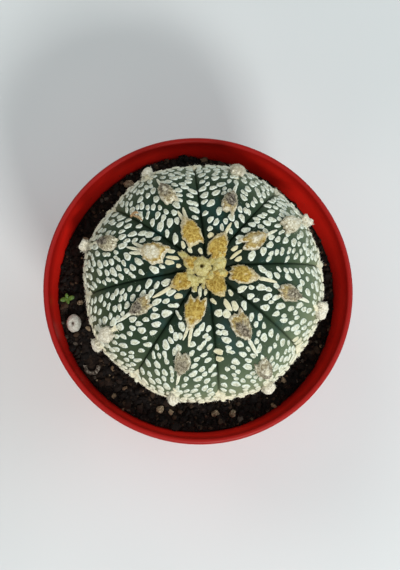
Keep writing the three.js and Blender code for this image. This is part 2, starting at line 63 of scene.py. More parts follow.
def addObject(name, data):
    added = bpy.data.objects.new(name, data)
    bpy.context.scene.collection.objects.link(added)
    return added


# Camera and light

view = {
    "target": Vector((0.04, 0.54, 68)),
    "distance": 250,
    "tilt": radians(10),  # away from straight above
    "side": radians(246.4),
    "lens": 62.94,
    "nearest": 0.01,  # metres
}
lamps = {  # turn and height above the floor in degrees, distance and size in metres
    "keyLamp": {
        "turn": -71, "height": 48, "distance": 0.9, "size": 0.17, "power": 5.2, "color": (0.98, 0.985, 0.945),
    },
    "sideLamp": {
        "turn": 12, "height": 38, "distance": 1.1, "size": 0.8, "power": 4.5, "color": (0.80, 0.94, 1),
    },
    "farLamp": {
        "turn": 140, "height": 58, "distance": 1, "size": 0.4, "power": 1.6, "color": (1, 0.99, 0.95),
    },
    "lowLamp": {
        "turn": -118, "height": 38, "distance": 1, "size": 0.5, "power": 0.85, "color": (1, 0.97, 0.92),
    },
}
lampTarget = Vector((0, 0, 60))
roomLight = {"color": (0.98, 1, 0.97, 1), "strength": 0.46}


def aimAt(thing, place, target, up):
    back = (place - target).normalized()
    right = up.cross(back).normalized()
    turned = Matrix((right, back.cross(right), back)).transposed().to_4x4()
    thing.matrix_world = Matrix.Translation(place * mm) @ turned


def fromAbove(turn, height, distance):
    ray = Vector((cos(turn) * cos(height), sin(turn) * cos(height), sin(height)))
    return ray * distance


camera = addObject("photoCamera", bpy.data.cameras.new("photoCamera"))
camera.data.lens = view["lens"]
camera.data.clip_start = view["nearest"]
bpy.context.scene.camera = camera
standpoint = view["target"] + fromAbove(view["side"], pi / 2 - view["tilt"], view["distance"])
aimAt(camera, standpoint, view["target"], Vector((0, 1, 0)))

for name, lamp in lamps.items():
    light = bpy.data.lights.new(name, "AREA")
    light.size, light.energy, light.color = lamp["size"], lamp["power"], lamp["color"]
    place = fromAbove(radians(lamp["turn"]), radians(lamp["height"]), lamp["distance"] / mm)
    aimAt(addObject(name, light), place, lampTarget, Vector((0, 0, 1)))

world = bpy.data.worlds.new("softRoom")
bpy.context.scene.world = world
world.use_nodes = True
background = world.node_tree.nodes["Background"].inputs
background["Color"].default_value = roomLight["color"]
background["Strength"].default_value = roomLight["strength"]
bpy.context.scene.view_settings.view_transform = "Standard"
print("camera and light are in place")


# Materials: a wire is the output of a node, and sums on wires add Math nodes

def sumOf(operation, reflected=False):
    def method(wire, other):
        pair = (other, wire) if reflected else (wire, other)
        return wire.paint.node("Math", {"operation": operation}, {0: pair[0], 1: pair[1]})
    return method


class Wire:
    def __init__(self, paint, socket):
        self.paint = paint
        self.socket = socket

    __add__, __radd__ = sumOf("ADD"), sumOf("ADD", True)
    __sub__, __rsub__ = sumOf("SUBTRACT"), sumOf("SUBTRACT", True)
    __mul__, __rmul__ = sumOf("MULTIPLY"), sumOf("MULTIPLY", True)


class Paint:
    def __init__(self, name, specular):
        self.material = bpy.data.materials.new(name)
        self.material.use_nodes = True
        self.tree = self.material.node_tree
        self.surface = self.tree.nodes["Principled BSDF"].inputs
        self.surface["Specular IOR Level"].default_value = specular
        place = self.tree.nodes.new("ShaderNodeTexCoord").outputs["Object"]
        scaled = {0: Wire(self, place), 1: (1 / mm,) * 3}
        self.place = self.node("VectorMath", {"operation": "MULTIPLY"}, scaled)  # in millimetres

    def node(self, kind, settings, sockets, output=0):
        made = self.tree.nodes.new("ShaderNode" + kind)
        for name, value in settings.items():
            if name == "stops":
                self.setStops(made.color_ramp, value)
            else:
                setattr(made, name, value)
        for name, value in sockets.items():
            self.feed(made.inputs[name], value)
        return Wire(self, made.outputs[output])

    def setStops(self, ramp, stops):
        while len(ramp.elements) < len(stops):
            ramp.elements.new(0.5)
        for element, (position, color) in zip(ramp.elements, stops):
            element.position = position
            element.color = (*color, 1)

    def feed(self, socket, value):
        if isinstance(value, Wire):
            self.tree.links.new(value.socket, socket)
        else:
            socket.default_value = value

    def mix(self, share, one, other):
        colors = [(*each, 1) if isinstance(each, tuple) else each for each in (one, other)]
        return self.node("Mix", {"data_type": "RGBA"}, {0: share, 6: colors[0], 7: colors[1]}, 2)

    def ramp(self, share, stops, interpolation="LINEAR"):
        made = self.node("ValToRGB", {"stops": stops}, {0: share})
        made.socket.node.color_ramp.interpolation = interpolation
        return made

    def band(self, value, low, high):  # 0 below low, 1 above high
        sockets = {"Value": value, "From Min": low, "From Max": high}
        return self.node("MapRange", {"interpolation_type": "SMOOTHSTEP"}, sockets)

    def cloud(self, size, detail=2, roughness=0.5):  # noise with lumps of that size, in millimetres
        sockets = {"Vector": self.place, "Scale": 1 / size, "Detail": detail, "Roughness": roughness}
        return self.node("TexNoise", {}, sockets)

    def cells(self, size):  # distance from the nearest of scattered points
        return self.node("TexVoronoi", {}, {"Vector": self.place, "Scale": 1 / size})

    def mark(self, name):  # a value that the piece carries on its vertices
        return self.node("Attribute", {"attribute_name": name}, {}, 2)

    def apply(self, color, roughness, height=None, depth=0, coat=0):  # bumps, depth in millimetres
        fed = {"Base Color": color, "Roughness": roughness, "Coat Weight": coat}
        if height:
            bumps = {"Height": height, "Distance": depth * mm, "Strength": 1}
            fed["Normal"] = self.node("Bump", {}, bumps)
        for name, value in fed.items():
            self.feed(self.surface[name], value)
        return self.material


def tableTop():
    paint = Paint("paleTable", 0.2)
    shade = paint.band(paint.cloud(60, 1), 0.2, 0.8)
    color = paint.mix(shade, (0.555, 0.585, 0.60), (0.585, 0.61, 0.625))
    return paint.apply(color, 0.7)


def redPlastic():  # darker at the lip, a painted shade for less light getting through the thick plastic than the thin wall
    paint = Paint("redPlastic", 0.16)
    blotch = paint.band(paint.cloud(9, 3), 0.3, 0.75)
    color = paint.mix(blotch, (0.70, 0.014, 0.008), (0.78, 0.018, 0.010))
    color = paint.mix(paint.mark("lip"), color, (0.27, 0.005, 0.0035))
    # dark specks of dust on the inner wall, thickest at the soil and fading upwards, which also serve as
    # painted shade low on the wall
    dustyAndShaded = paint.band(paint.cloud(1.1, 3, 0.7), 0.62, 0.74) * paint.mark("dust")
    color = paint.mix(dustyAndShaded * 0.75, color, (0.10, 0.05, 0.035))
    scuffs = paint.cloud(0.35, 2)
    roughness = 0.36 + paint.cloud(4, 3) * 0.12 + dustyAndShaded * 0.3
    return paint.apply(color, roughness, scuffs, 0.012)


def pottingMix():
    paint = Paint("pottingMix", 0.15)
    clumps = paint.cloud(1.4, 4, 0.65)
    crumbs = paint.cells(0.7)
    color = paint.ramp(clumps, [
        (0.3, (0.003, 0.0015, 0.001)), (0.5, (0.009, 0.005, 0.0035)), (0.68, (0.028, 0.017, 0.011)),
    ])
    return paint.apply(color, 0.85, clumps + crumbs * 0.6, 0.5)


def mixGrains():
    paint = Paint("mixGrains", 0.2)
    tone = paint.ramp(paint.mark("tone"), [
        (0, (0.002, 0.001, 0.0008)), (0.42, (0.0065, 0.0036, 0.0022)), (0.70, (0.017, 0.009, 0.0055)),
        (0.84, (0.048, 0.028, 0.016)), (0.935, (0.15, 0.095, 0.055)), (0.955, (0.085, 0.07, 0.055)),
        (0.985, (0.28, 0.21, 0.13)),
    ], "CONSTANT")
    shade = paint.cloud(0.5, 3, 0.65)
    color = paint.mix(paint.band(shade, 0.35, 0.7) * 0.55, tone, (0.012, 0.008, 0.006))
    return paint.apply(color, 0.8, shade, 0.15)


def cactusRind():
    paint = Paint("cactusRind", 0.14)
    paint.surface["Coat Roughness"].default_value = 0.45
    tilt = paint.mark("tilt")  # 0 at the crown, 1 at the widest ring
    # sunny is a painted light mark: 1 on the side taken as lit, 0 on the side taken as shaded
    sun = paint.mark("sunny")
    drift = paint.cloud(7, 3) - 0.5
    # painted light and shade: the ramp moves paler on the lit side and darker on the shaded side
    bleachedAndPaintedLight = (sun - 0.5) * paint.band(tilt, 0.28, 0.72)
    # colour by tilt, darkest at the crown and paler towards the widest ring; the paler outer part is a
    # painted sheen
    color = paint.ramp(tilt * 0.5 + drift * 0.1 + bleachedAndPaintedLight * 0.15, [
        (0.04, (0.003, 0.008, 0.003)), (0.14, (0.006, 0.016, 0.007)), (0.24, (0.019, 0.037, 0.018)),
        (0.32, (0.047, 0.070, 0.037)), (0.40, (0.105, 0.137, 0.077)), (0.5, (0.18, 0.20, 0.11)),
        (0.7, (0.22, 0.23, 0.13)),
    ])
    # painted shade: the shaded side is darkened towards olive
    paintedShadeOlive = paint.band(sun, 0.6, 0.1) * paint.band(tilt, 0.5, 0.85)
    color = paint.mix(paintedShadeOlive * 0.5, color, (0.055, 0.062, 0.018))
    bluish = paint.band(paint.cloud(4.5, 2), 0.5, 0.7) * paint.band(tilt, 0.8, 0.4)
    color = paint.mix(bluish * 0.55, color, (0.009, 0.042, 0.040))
    # painted shade in the groove creases, strongest near the crown where the grooves are deepest
    dark = paint.mark("groove") * (0.9 - paint.band(tilt, 0.12, 0.5) * 0.35)
    color = paint.mix(dark, color, (0.003, 0.008, 0.003))
    speckled = paint.band(paint.cloud(2.5, 2), 0.5, 0.62)
    specks = paint.band(paint.cells(0.6), 0.2, 0.08) * speckled
    color = paint.mix(specks * 0.45, color, (0.34, 0.38, 0.30))
    pores = paint.cloud(0.45, 3)
    wax = paint.band(tilt, 0.45, 0.9) * 0.22
    return paint.apply(color, 0.6, pores, 0.05, wax)


def whiteFelt():
    paint = Paint("whiteFelt", 0.08)
    rim = paint.mark("rim")
    tufts, grains = paint.cloud(0.22, 4, 0.7), paint.cloud(0.55, 3, 0.7)
    edge = paint.band(rim + (grains - 0.5) * 0.9, 0.55, 0.95)
    heart = paint.mix(paint.band(grains, 0.35, 0.6), (0.38, 0.38, 0.27), (0.64, 0.655, 0.54))
    color = paint.mix(edge, heart, (0.70, 0.755, 0.685))
    color = paint.mix(paint.mark("warm") * 0.7, color, (0.60, 0.50, 0.25))
    color = paint.mix(paint.mark("cream") * 0.85, color, (0.79, 0.72, 0.53))
    color = paint.mix(paint.band(tufts, 0.56, 0.72) * 0.4, color, (0.27, 0.26, 0.18))
    return paint.apply(color, 0.95, tufts + grains, 0.14)


def areoleFelt():
    paint = Paint("areoleFelt", 0.08)
    age, edge, out, pale, dark = (paint.mark(name) for name in ("age", "edge", "out", "pale", "dark"))
    tufts = paint.cloud(0.3, 4, 0.68)
    grain = paint.band(paint.cloud(0.6, 4, 0.75), 0.38, 0.62)
    blotch = paint.cloud(1.8, 3) - 0.5
    young = paint.mix(grain, (0.26, 0.145, 0.018), (0.55, 0.39, 0.10))
    young = paint.mix(paint.band(paint.cloud(0.9, 2), 0.5, 0.66) * 0.5, young, (0.66, 0.51, 0.15))
    grown = paint.mix(grain, (0.19, 0.155, 0.095), (0.50, 0.455, 0.32))
    old = paint.mix(grain, (0.66, 0.60, 0.46), (0.90, 0.86, 0.74))
    cream = paint.mix(grain, (0.52, 0.45, 0.29), (0.80, 0.77, 0.64))
    cream = paint.mix(paint.band(age, 0.65, 0.85), cream, old)
    color = paint.mix(paint.band(age + blotch * 0.2, 0.24, 0.42), young, grown)
    golden = paint.band(blotch * 0.5 - out, 0.1, 0.5) * paint.band(age, 0.62, 0.5)
    color = paint.mix(golden * 0.5, color, young)
    color = paint.mix(paint.band(age, 0.7, 0.88), color, old)
    halfGrown = paint.band(age, 0.15, 0.2) * paint.band(age, 0.38, 0.3)
    worn = paint.band(blotch + out * (halfGrown * 0.4 + 0.45), 0.12, 0.42) * 0.6
    color = paint.mix(worn, color, cream)
    heart = paint.band(edge - out * 0.3 + blotch * 1.3, 0.56, 0.24) * dark * 0.9
    color = paint.mix(heart, color, paint.mix(grain, (0.022, 0.016, 0.011), (0.30, 0.26, 0.205)))
    bleachedAndPaintedLight = paint.band(pale - edge * 0.8 - blotch * 0.8, 0.0, 0.25)
    color = paint.mix(bleachedAndPaintedLight, color, cream)
    border = paint.band(edge + blotch * 0.6 + (grain - 0.5) * 0.2, 0.6, 0.76)
    edging = paint.mix(paint.band(age, 0.1, 0.3), (0.66, 0.55, 0.26), cream)
    color = paint.mix(border * (0.45 + paint.band(age, 0.1, 0.2) * 0.45), color, edging)
    return paint.apply(color, 0.95, tufts + grain * 0.5, 0.16)


def crownFelt():
    paint = Paint("crownFelt", 0.08)
    tufts = paint.cloud(0.3, 4, 0.68)
    grain = paint.band(paint.cloud(0.55, 4, 0.75), 0.36, 0.62)
    pale = paint.mix(grain, (0.37, 0.30, 0.09), (0.54, 0.49, 0.235))
    golden = paint.mix(grain, (0.38, 0.22, 0.03), (0.60, 0.44, 0.12))
    blotch = paint.band(paint.cloud(1.5, 2) + paint.mark("golden") * 0.35, 0.64, 0.8)
    color = paint.mix(blotch, pale, golden)
    color = paint.mix(paint.mark("pit"), color, (0.24, 0.13, 0.03))
    return paint.apply(color, 0.95, tufts + grain * 0.5, 0.11)


def feltHair():
    paint = Paint("feltHair", 0.15)
    tone = paint.ramp(paint.mark("tone"), [
        (0.0, (0.46, 0.28, 0.06)), (0.35, (0.72, 0.60, 0.30)), (0.7, (0.80, 0.75, 0.60)),
        (1.0, (0.88, 0.87, 0.76)),
    ])
    soiled = paint.band(paint.cloud(0.8, 2), 0.35, 0.7)
    return paint.apply(paint.mix(soiled * 0.2, tone, (0.34, 0.27, 0.16)), 0.9)


def driedSkin():
    paint = Paint("driedSkin", 0.3)
    fibres = paint.cloud(0.4, 3, 0.65)
    color = paint.mix(paint.band(fibres, 0.38, 0.62), (0.25, 0.12, 0.04), (0.55, 0.42, 0.24))
    return paint.apply(color, 0.8, fibres, 0.12)


def chalkyMineral():
    paint = Paint("chalkyMineral", 0.2)
    chalk = paint.cloud(0.5, 4, 0.6)
    color = paint.mix(paint.band(chalk, 0.35, 0.7), (0.42, 0.42, 0.36), (0.62, 0.63, 0.58))
    color = paint.mix(paint.mark("pit"), color, (0.045, 0.025, 0.015))
    return paint.apply(color, 0.9, chalk, 0.12)


def dryBark():
    paint = Paint("dryBark", 0.25)
    fibres = paint.cloud(0.5, 4, 0.7)
    color = paint.ramp(fibres, [
        (0.36, (0.018, 0.011, 0.008)), (0.5, (0.07, 0.055, 0.042)), (0.64, (0.36, 0.33, 0.28)),
    ])
    return paint.apply(color, 0.9, fibres, 0.25)


def freshLeaf():
    paint = Paint("freshLeaf", 0.4)
    veins = paint.cloud(0.4, 2)
    color = paint.mix(paint.band(veins, 0.3, 0.7), (0.035, 0.085, 0.012), (0.12, 0.22, 0.026))
    return paint.apply(color, 0.5, veins, 0.06)


def tanGrit():
    paint = Paint("tanGrit", 0.3)
    grains = paint.cloud(0.45, 4, 0.65)
    color = paint.ramp(grains, [
        (0.3, (0.06, 0.035, 0.02)), (0.48, (0.17, 0.12, 0.07)), (0.62, (0.38, 0.31, 0.21)),
    ])
    return paint.apply(color, 0.85, grains, 0.15)


# Mesh helpers

def finishPiece(shape, name, material, nodes=(), smooth=True):
    bmesh.ops.transform(shape, matrix=Matrix.Scale(mm, 4), verts=shape.verts)
    for face in shape.faces:
        face.smooth = smooth
    mesh = bpy.data.meshes.new(name)
    shape.to_mesh(mesh)
    shape.free()
    mesh.materials.append(material)
    piece = addObject(name, mesh)
    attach(piece, "root")
    if nodes:
        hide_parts(*nodes)
    print(name, "has", sum(len(face.vertices) - 2 for face in mesh.polygons), "triangles")


def spunLine(places, steps):  # a line of points, turned once round Z
    shape = bmesh.new()
    corners = [shape.verts.new(place) for place in places]
    for one, other in zip(corners, corners[1:]):
        shape.edges.new((one, other))
    bmesh.ops.spin(
        shape, geom=shape.verts[:] + shape.edges[:], cent=(0, 0, 0), axis=(0, 0, 1),
        dvec=(0, 0, 0), angle=fullTurn, steps=steps, use_merge=True)
    return shape


def mergeDoubles(shape):
    bmesh.ops.remove_doubles(shape, verts=shape.verts, dist=1e-4)


def closeUp(shape):
    mergeDoubles(shape)
    bmesh.ops.recalc_face_normals(shape, faces=shape.faces)


def asMesh(shape, marks):
    mesh = bpy.data.meshes.new("pattern")
    shape.to_mesh(mesh)
    shape.free()
    for mark in marks:
        mesh.attributes.new(mark, "FLOAT", "POINT")
    return mesh


def setMark(mesh, name, values):
    mesh.attributes[name].data.foreach_set("value", values)


def addCopy(shape, mesh, tone):  # a grain or a hair, with one tone all over
    setMark(mesh, "tone", [tone] * len(mesh.vertices))
    shape.from_mesh(mesh)
    bpy.data.meshes.remove(mesh)


# The cactus skin, by the same sizes and formulas as the solid

body = {
    "radius": 29.3,
    "widest": 12,
    "rise": 19,
    "drop": 16,
    "sole": radians(158),
    "grooveDepth": 1.3,
    "grooveCurve": 3,
    "shallowing": 0.4,
    "shallow": (radians(50), radians(90)),
    "slit": 0.35,
    "slitWidth": 0.24,
    "grooveEnd": radians(138),
    "swellEnd": (radians(112), radians(132)),
    "dimple": 1.6,
    "dimpleRadius": 6,
    "root": [(7.5, -5.5), (5, -10), (3.2, -17), (1.6, -25), (0, -28)],
    "columns": 40,  # of faces on each rib
    "rowPitch": 0.6,
}
# Ribs, clockwise: the turn of the first groove and the swell of the back. An areole has its tilt,
# how far it lies left of the crest, its length and width, and the lengths of the strips beyond it.
ribs = [
    {"start": 142.5, "swell": 0.5, "areoles": [
        (19, -1, 8, 5.4, (2.9, 2.5)), (45, -1, 7.2, 4.3, (3.4,)), (78, -0.3, 5, 3.7, (2,)),
        (110, 0, 5, 4.2, ())]},
    {"start": 95.5, "swell": -0.1, "areoles": [
        (11.8, -1.1, 7.6, 5.3, (2.8,)), (36, -0.6, 6.8, 4.3, (3.3,)), (68, 0, 5.2, 4.4, (2,)),
        (100, 0, 5, 4.2, ())]},
    {"start": 50.5, "swell": -0.4, "areoles": [
        (27, 0.6, 7.2, 5, (3.4,)), (54, 0.9, 7, 4.7, (2,)), (79, 0.8, 5, 3.7, (2,)), (108, 0, 5, 4.2, ())]},
    {"start": 6.5, "swell": 0, "areoles": [
        (17.4, 0.9, 7.9, 5, (4.4,)), (43.4, 0.2, 6.8, 4.5, (3.6,)), (79, 0, 5.6, 5.2, (2,)),
        (110, 0, 5, 4.2, ())]},
    {"start": -37, "swell": 0.4, "areoles": [
        (9.3, 0.1, 6.3, 5.2, ()), (32, 0.4, 7.8, 5.3, (4.6,)), (62, 0.7, 6, 4.4, (2.2,)),
        (88, 0.3, 5, 4.2, (2,)), (116, 0, 5, 4.2, ())]},
    {"start": -83, "swell": 0.3, "areoles": [
        (21.3, -0.2, 7.9, 5.5, (3.4, 4.6)), (48.5, 0, 6.2, 4.3, (3.6,)), (82, 0, 4.7, 3.3, (2,)),
        (112, 0, 5, 4.2, ())]},
    {"start": -125.5, "swell": 0.4, "areoles": [
        (13.3, -0.3, 5.6, 4.8, (4.8,)), (36, -0.5, 6.5, 4.3, (4.4,)), (66, 0, 5, 4.2, (2,)),
        (90, 0, 5, 4.2, (2,)), (117, 0, 5, 4.2, ())]},
    {"start": -172, "swell": 0.5, "areoles": [
        (7.1, -0.5, 4.6, 3.6, ()), (26, -0.5, 7.4, 6, (3, 3.4, 3)), (55, -1, 6.4, 4.3, (3,)),
        (84, -0.5, 4.7, 3.5, (2,)), (114, 0, 5, 4.2, ())]},
]
soil = {
    "level": 59,
    "edge": 35.69,
    "columns": 200,
    "rows": 30,
    "mounds": [(106, 24, 2.2), (50, 22, -1.3), (262, 30, 0.7)],  # turn, spread, rise
    "potRoom": 0.3,
    "socketRoom": 0.48,
    "socketTilts": (138, 144, 150, 155, 158),
}
plantPlace = (
    Matrix.Translation((1.4, 0.8, soil["level"]))
    @ Matrix.Rotation(radians(-0.4), 4, "X") @ Matrix.Rotation(radians(-2.6), 4, "Y"))
intoPlant = plantPlace.inverted()

for rib, following in zip(ribs, ribs[1:] + ribs[:1]):
    rib["width"] = radians(rib["start"] - following["start"]) % fullTurn
    rib["crest"] = radians(rib["start"]) - rib["width"] / 2


def smoothSkin(tilt):
    fall = body["rise"] if tilt < pi / 2 else body["drop"]
    normal = Vector((fall * sin(tilt), body["radius"] * cos(tilt))).normalized()
    return body["radius"] * sin(tilt), body["widest"] + fall * cos(tilt), normal


halfDegree = radians(0.5)
lastTilt = radians(160)
arcs = [0.0]  # length of the meridian from the crown, every half degree of tilt
for step in range(1, round(lastTilt / halfDegree) + 1):
    here, last = smoothSkin(step * halfDegree), smoothSkin((step - 1) * halfDegree)
    arcs.append(arcs[-1] + hypot(here[0] - last[0], here[1] - last[1]))


def arcOf(tilt):
    step = min(len(arcs) - 2, int(tilt / halfDegree))
    return arcs[step] + (arcs[step + 1] - arcs[step]) * (tilt / halfDegree - step)


def tiltOf(arc):
    step = min(len(arcs) - 1, max(1, bisect_left(arcs, arc)))
    return halfDegree * (step - 1 + (arc - arcs[step - 1]) / (arcs[step] - arcs[step - 1]))


def ribAt(turn):  # the rib, and how far across it, from -1 at one groove to 1 at the next
    for rib in ribs:
        inside = (radians(rib["start"]) - turn) % fullTurn
        if inside <= rib["width"]:
            return rib, 2 * inside / rib["width"] - 1
    return ribs[0], -1


def reliefAt(tilt, rib, across):
    shallower = 1 - body["shallowing"] * eased(tilt, *body["shallow"])
    depth = body["grooveDepth"] * sin(tilt) ** 0.6 * shallower
    depth *= 1 - eased(tilt, body["grooveEnd"], body["sole"])
    groove = depth * (1 - sqrt(max(0, 1 - abs(across) ** body["grooveCurve"])))
    aboveSoil = 1 - eased(tilt, *body["swellEnd"])
    swell = rib["swell"] * cos(across * pi / 2) ** 2 * sin(tilt) ** 2 * aboveSoil
    dimple = body["dimple"] * exp(-((body["radius"] * sin(tilt) / body["dimpleRadius"]) ** 2))
    return swell - groove - dimple


def skinPlace(tilt, turn, out):
    radius, height, normal = smoothSkin(tilt)
    reach = radius + out * normal.x
    return Vector((reach * cos(turn), reach * sin(turn), height + out * normal.y))


def onSkin(spot, lift):  # a spot is a tilt and a turn
    rib, across = ribAt(spot[1])
    return skinPlace(spot[0], spot[1], reliefAt(spot[0], rib, across) + lift)


def beside(spot, outward, left):  # the spot that lies so many millimetres outward and to the left
    arc = arcOf(spot[0])
    x = arc + outward
    y = left * arc / max(0.01, body["radius"] * sin(spot[0]))
    return tiltOf(hypot(x, y)), spot[1] + atan2(y, x)


def soilHeight(x, y):
    rise = 0
    for turn, spread, height in soil["mounds"]:
        off = (degrees(atan2(y, x)) - turn + 180) % 360 - 180
        rise += height * exp(-((off / spread) ** 2))
    return soil["level"] + eased(hypot(x, y), 20, 34) * rise


def clearOfSoil(spot, margin):
    foot = plantPlace @ skinPlace(*spot, 0)
    return foot.z > soilHeight(foot.x, foot.y) + margin


def finishGrowth(shape, name, material, nodes=()):
    # What grows on the plant is shaped upright round the origin, so it is put in its place here
    bmesh.ops.transform(shape, matrix=plantPlace, verts=shape.verts)
    finishPiece(shape, name, material, nodes)


def makeSkin():
    length = arcOf(body["sole"])
    rows = round(length / body["rowPitch"])
    tilts = [tiltOf(length * row / rows) for row in range(rows + 1)]
    columns = body["columns"] * len(ribs)
    rootStart = len(tilts)
    count = rootStart + len(body["root"])
    shape = spunLine([(1, 0, row) for row in range(count)], columns)
    marks = shape.verts.layers.float
    tiltMark, grooveMark, sunMark = marks.new("tilt"), marks.new("groove"), marks.new("sunny")
    for corner in shape.verts:
        row = round(corner.co.z)
        column = round(atan2(corner.co.y, corner.co.x) / fullTurn * columns) % columns
        rib = ribs[column // body["columns"]]
        inside = 2 * (column % body["columns"]) / body["columns"] - 1
        across = copysign(1 - (1 - abs(inside)) ** 1.5, inside)  # closer columns by the grooves
        turn = radians(rib["start"]) - rib["width"] * (across + 1) / 2
        if row < rootStart:
            tilt = tilts[row]
            flat = skinPlace(tilt, turn, 0)
            wobble = (0.1 * lumps(flat, 5) + 0.05 * lumps(flat, 1.6, 3)) * eased(tilt, 0, 0.3)
            fromGroove = (1 - abs(across)) * rib["width"] / 2 * body["radius"] * sin(tilt)
            slit = body["slit"] * exp(-((fromGroove / body["slitWidth"]) ** 2)) * eased(tilt, 0.05, 0.2)
            slit *= 1 - eased(tilt, body["grooveEnd"], body["sole"])
            corner.co = skinPlace(tilt, turn, reliefAt(tilt, rib, across) + wobble - slit)
            corner[tiltMark] = tilt / (pi / 2)
            corner[grooveMark] = 1 - eased(fromGroove, 0.02, body["slitWidth"])
            # painted light mark: 1 towards the side that the rind paint treats as lit
            corner[sunMark] = 0.5 + 0.5 * cos(turn + 0.1)
        else:
            radius, height = body["root"][row - rootStart]
            corner.co = (radius * cos(turn), radius * sin(turn), height)
            corner[tiltMark] = 1.75
    closeUp(shape)
    finishGrowth(shape, "cactusSkin", cactusRind(), nodes=["cactus"])


# Felt pads: a disc of rings and spokes that is laid on the skin

def padPattern(shares, spokes, marks):
    # The last ring is sunk into the skin, and the pad is closed below it
    shape = spunLine([(share, 0, 0) for share in (*shares, 1)], spokes)
    mergeDoubles(shape)
    bmesh.ops.holes_fill(shape, edges=shape.edges, sides=0)
    bmesh.ops.recalc_face_normals(shape, faces=shape.faces)
    top = next(face for face in shape.faces if len(face.verts) == 3)  # of the fan in the middle
    if top.normal.z < 0:
        bmesh.ops.reverse_faces(shape, faces=shape.faces)
    corners = [(corner.co.xy.length, atan2(corner.co.y, corner.co.x)) for corner in shape.verts]
    return asMesh(shape, marks), corners


def padPoint(pad, share, angle):  # a point of the pad's back
    x, y = pad["outline"](angle)
    spread, lift = pad["profile"](share, angle, x, y)
    x, y = x * spread, y * spread
    along, aside = cos(pad["slant"]), sin(pad["slant"])
    return beside(pad["spot"], x * along - y * aside, x * aside + y * along), lift


def layPad(shape, pattern, pad, marks, sunk=0.3):
    # outline gives the edge's x and y for an angle, profile how far out and how high a share of the
    # way to it lies
    mesh, corners = pattern[0].copy(), pattern[1]
    for corner, (share, angle) in zip(mesh.vertices, corners):
        spot, lift = padPoint(pad, share, angle)
        corner.co = onSkin(spot, -sunk if share > 0.999 else lift)
    for name, value in marks.items():
        values = [value(*each) if callable(value) else value for each in corners]
        setMark(mesh, name, values)
    shape.from_mesh(mesh)
    bpy.data.meshes.remove(mesh)


def feltProfile(height):  # a flat back with a rounded edge
    def profile(share, angle, x, y):
        return share, height * (1 - share ** 9) ** 0.6 * (0.84 + 0.16 * share) + 0.05
    return profile


def edgeShare(share, angle):
    return share


areole = {
    "youngHeight": 1.5,
    "oldHeight": 2.2,
    "grown": radians(75),
    "overhang": radians(24),  # how far the back of an old one turns under
    "aboveSoil": 1.45,
    # Outline from the ragged end by the crown to the narrow outer end, half size 1
    "shield": [
        (-1, 0.6), (-0.66, 0.22), (-0.96, -0.02), (-0.68, -0.3), (-1, -0.66),
        (-0.2, -0.9), (0.5, -0.6), (1, 0), (0.5, 0.6), (-0.2, 0.9),
    ],
    # Corners of the outline that differ from one areole to the next, and how far
    "prongs": ((0, 2, 4), (0.84, 1.12)),
    "notches": ((1, 3), (0.95, 1.35)),
    "ragged": 0.16,
    "knobby": (0.05, 0.22),  # when young and when old
    "worn": 0.16,  # how much shorter the old ones are
    "ages": 0.04,  # how far the age strays
    "shares": (0, 0.14, 0.28, 0.42, 0.55, 0.67, 0.78, 0.87, 0.94),
    "spokes": 52,
    "hairs": 110,
    # By tilt: how far the back is bleached, and how dark its middle has become
    "pale": {26: 0.42, 27: 0.3, 54: 0.6, 62: 0.3, 45: 0.2},
    "dark": {32: 1, 36: 1.1, 48.5: 0.7, 55: 1.1, 43.4: 0.8, 45: 0.75, 62: 0.9, 54: 0.3},
}


def reachOf(shield, angle):  # from the middle of an outline to its edge
    ray = Vector((cos(angle), sin(angle)))
    for one, other in zip(shield, shield[1:] + shield[:1]):
        side = other - one
        across = ray.x * side.y - ray.y * side.x
        if abs(across) < 1e-9:
            continue
        reach = (one.x * side.y - one.y * side.x) / across
        share = (one.x * ray.y - one.y * ray.x) / across
        if reach > 0 and -1e-6 <= share <= 1 + 1e-6:
            return reach
    return 1


def listAreoles():
    pads = []
    for rib in ribs:
        edges = [arcOf(radians(each[0])) - each[2] / 2 for each in rib["areoles"]][1:] + [inf]
        for (angle, left, length, width, strips), edge in zip(rib["areoles"], edges):
            tilt = radians(angle)
            age = min(1, tilt / areole["grown"])
            worn = 1 - areole["worn"] * eased(angle, 58, 80)
            pad = {
                "spot": beside((tilt, rib["crest"]), 0, left), "slant": 0, "tilt": angle,
                "height": mixed(areole["youngHeight"], areole["oldHeight"], age),
                "halfLength": length / 2 * worn, "halfWidth": width / 2 * worn, "strips": strips,
                "room": edge - arcOf(tilt),
            }
            if clearOfSoil(beside(pad["spot"], pad["halfLength"], 0), areole["aboveSoil"]):
                pads.append(pad)
    return sorted(pads, key=lambda pad: pad["tilt"])


areolePads = listAreoles()


def nearness(pad, foot, margin):  # 1 is about on the pad's outline
    middle = skinPlace(*pad["spot"], 0)
    outward = (skinPlace(pad["spot"][0] + 0.01, pad["spot"][1], 0) - middle).normalized()
    offset = foot - middle
    along = offset.dot(outward)
    aside = sqrt(max(0, offset.length_squared - along ** 2))
    return hypot(along / (pad["halfLength"] + margin), aside / (pad["halfWidth"] + margin))


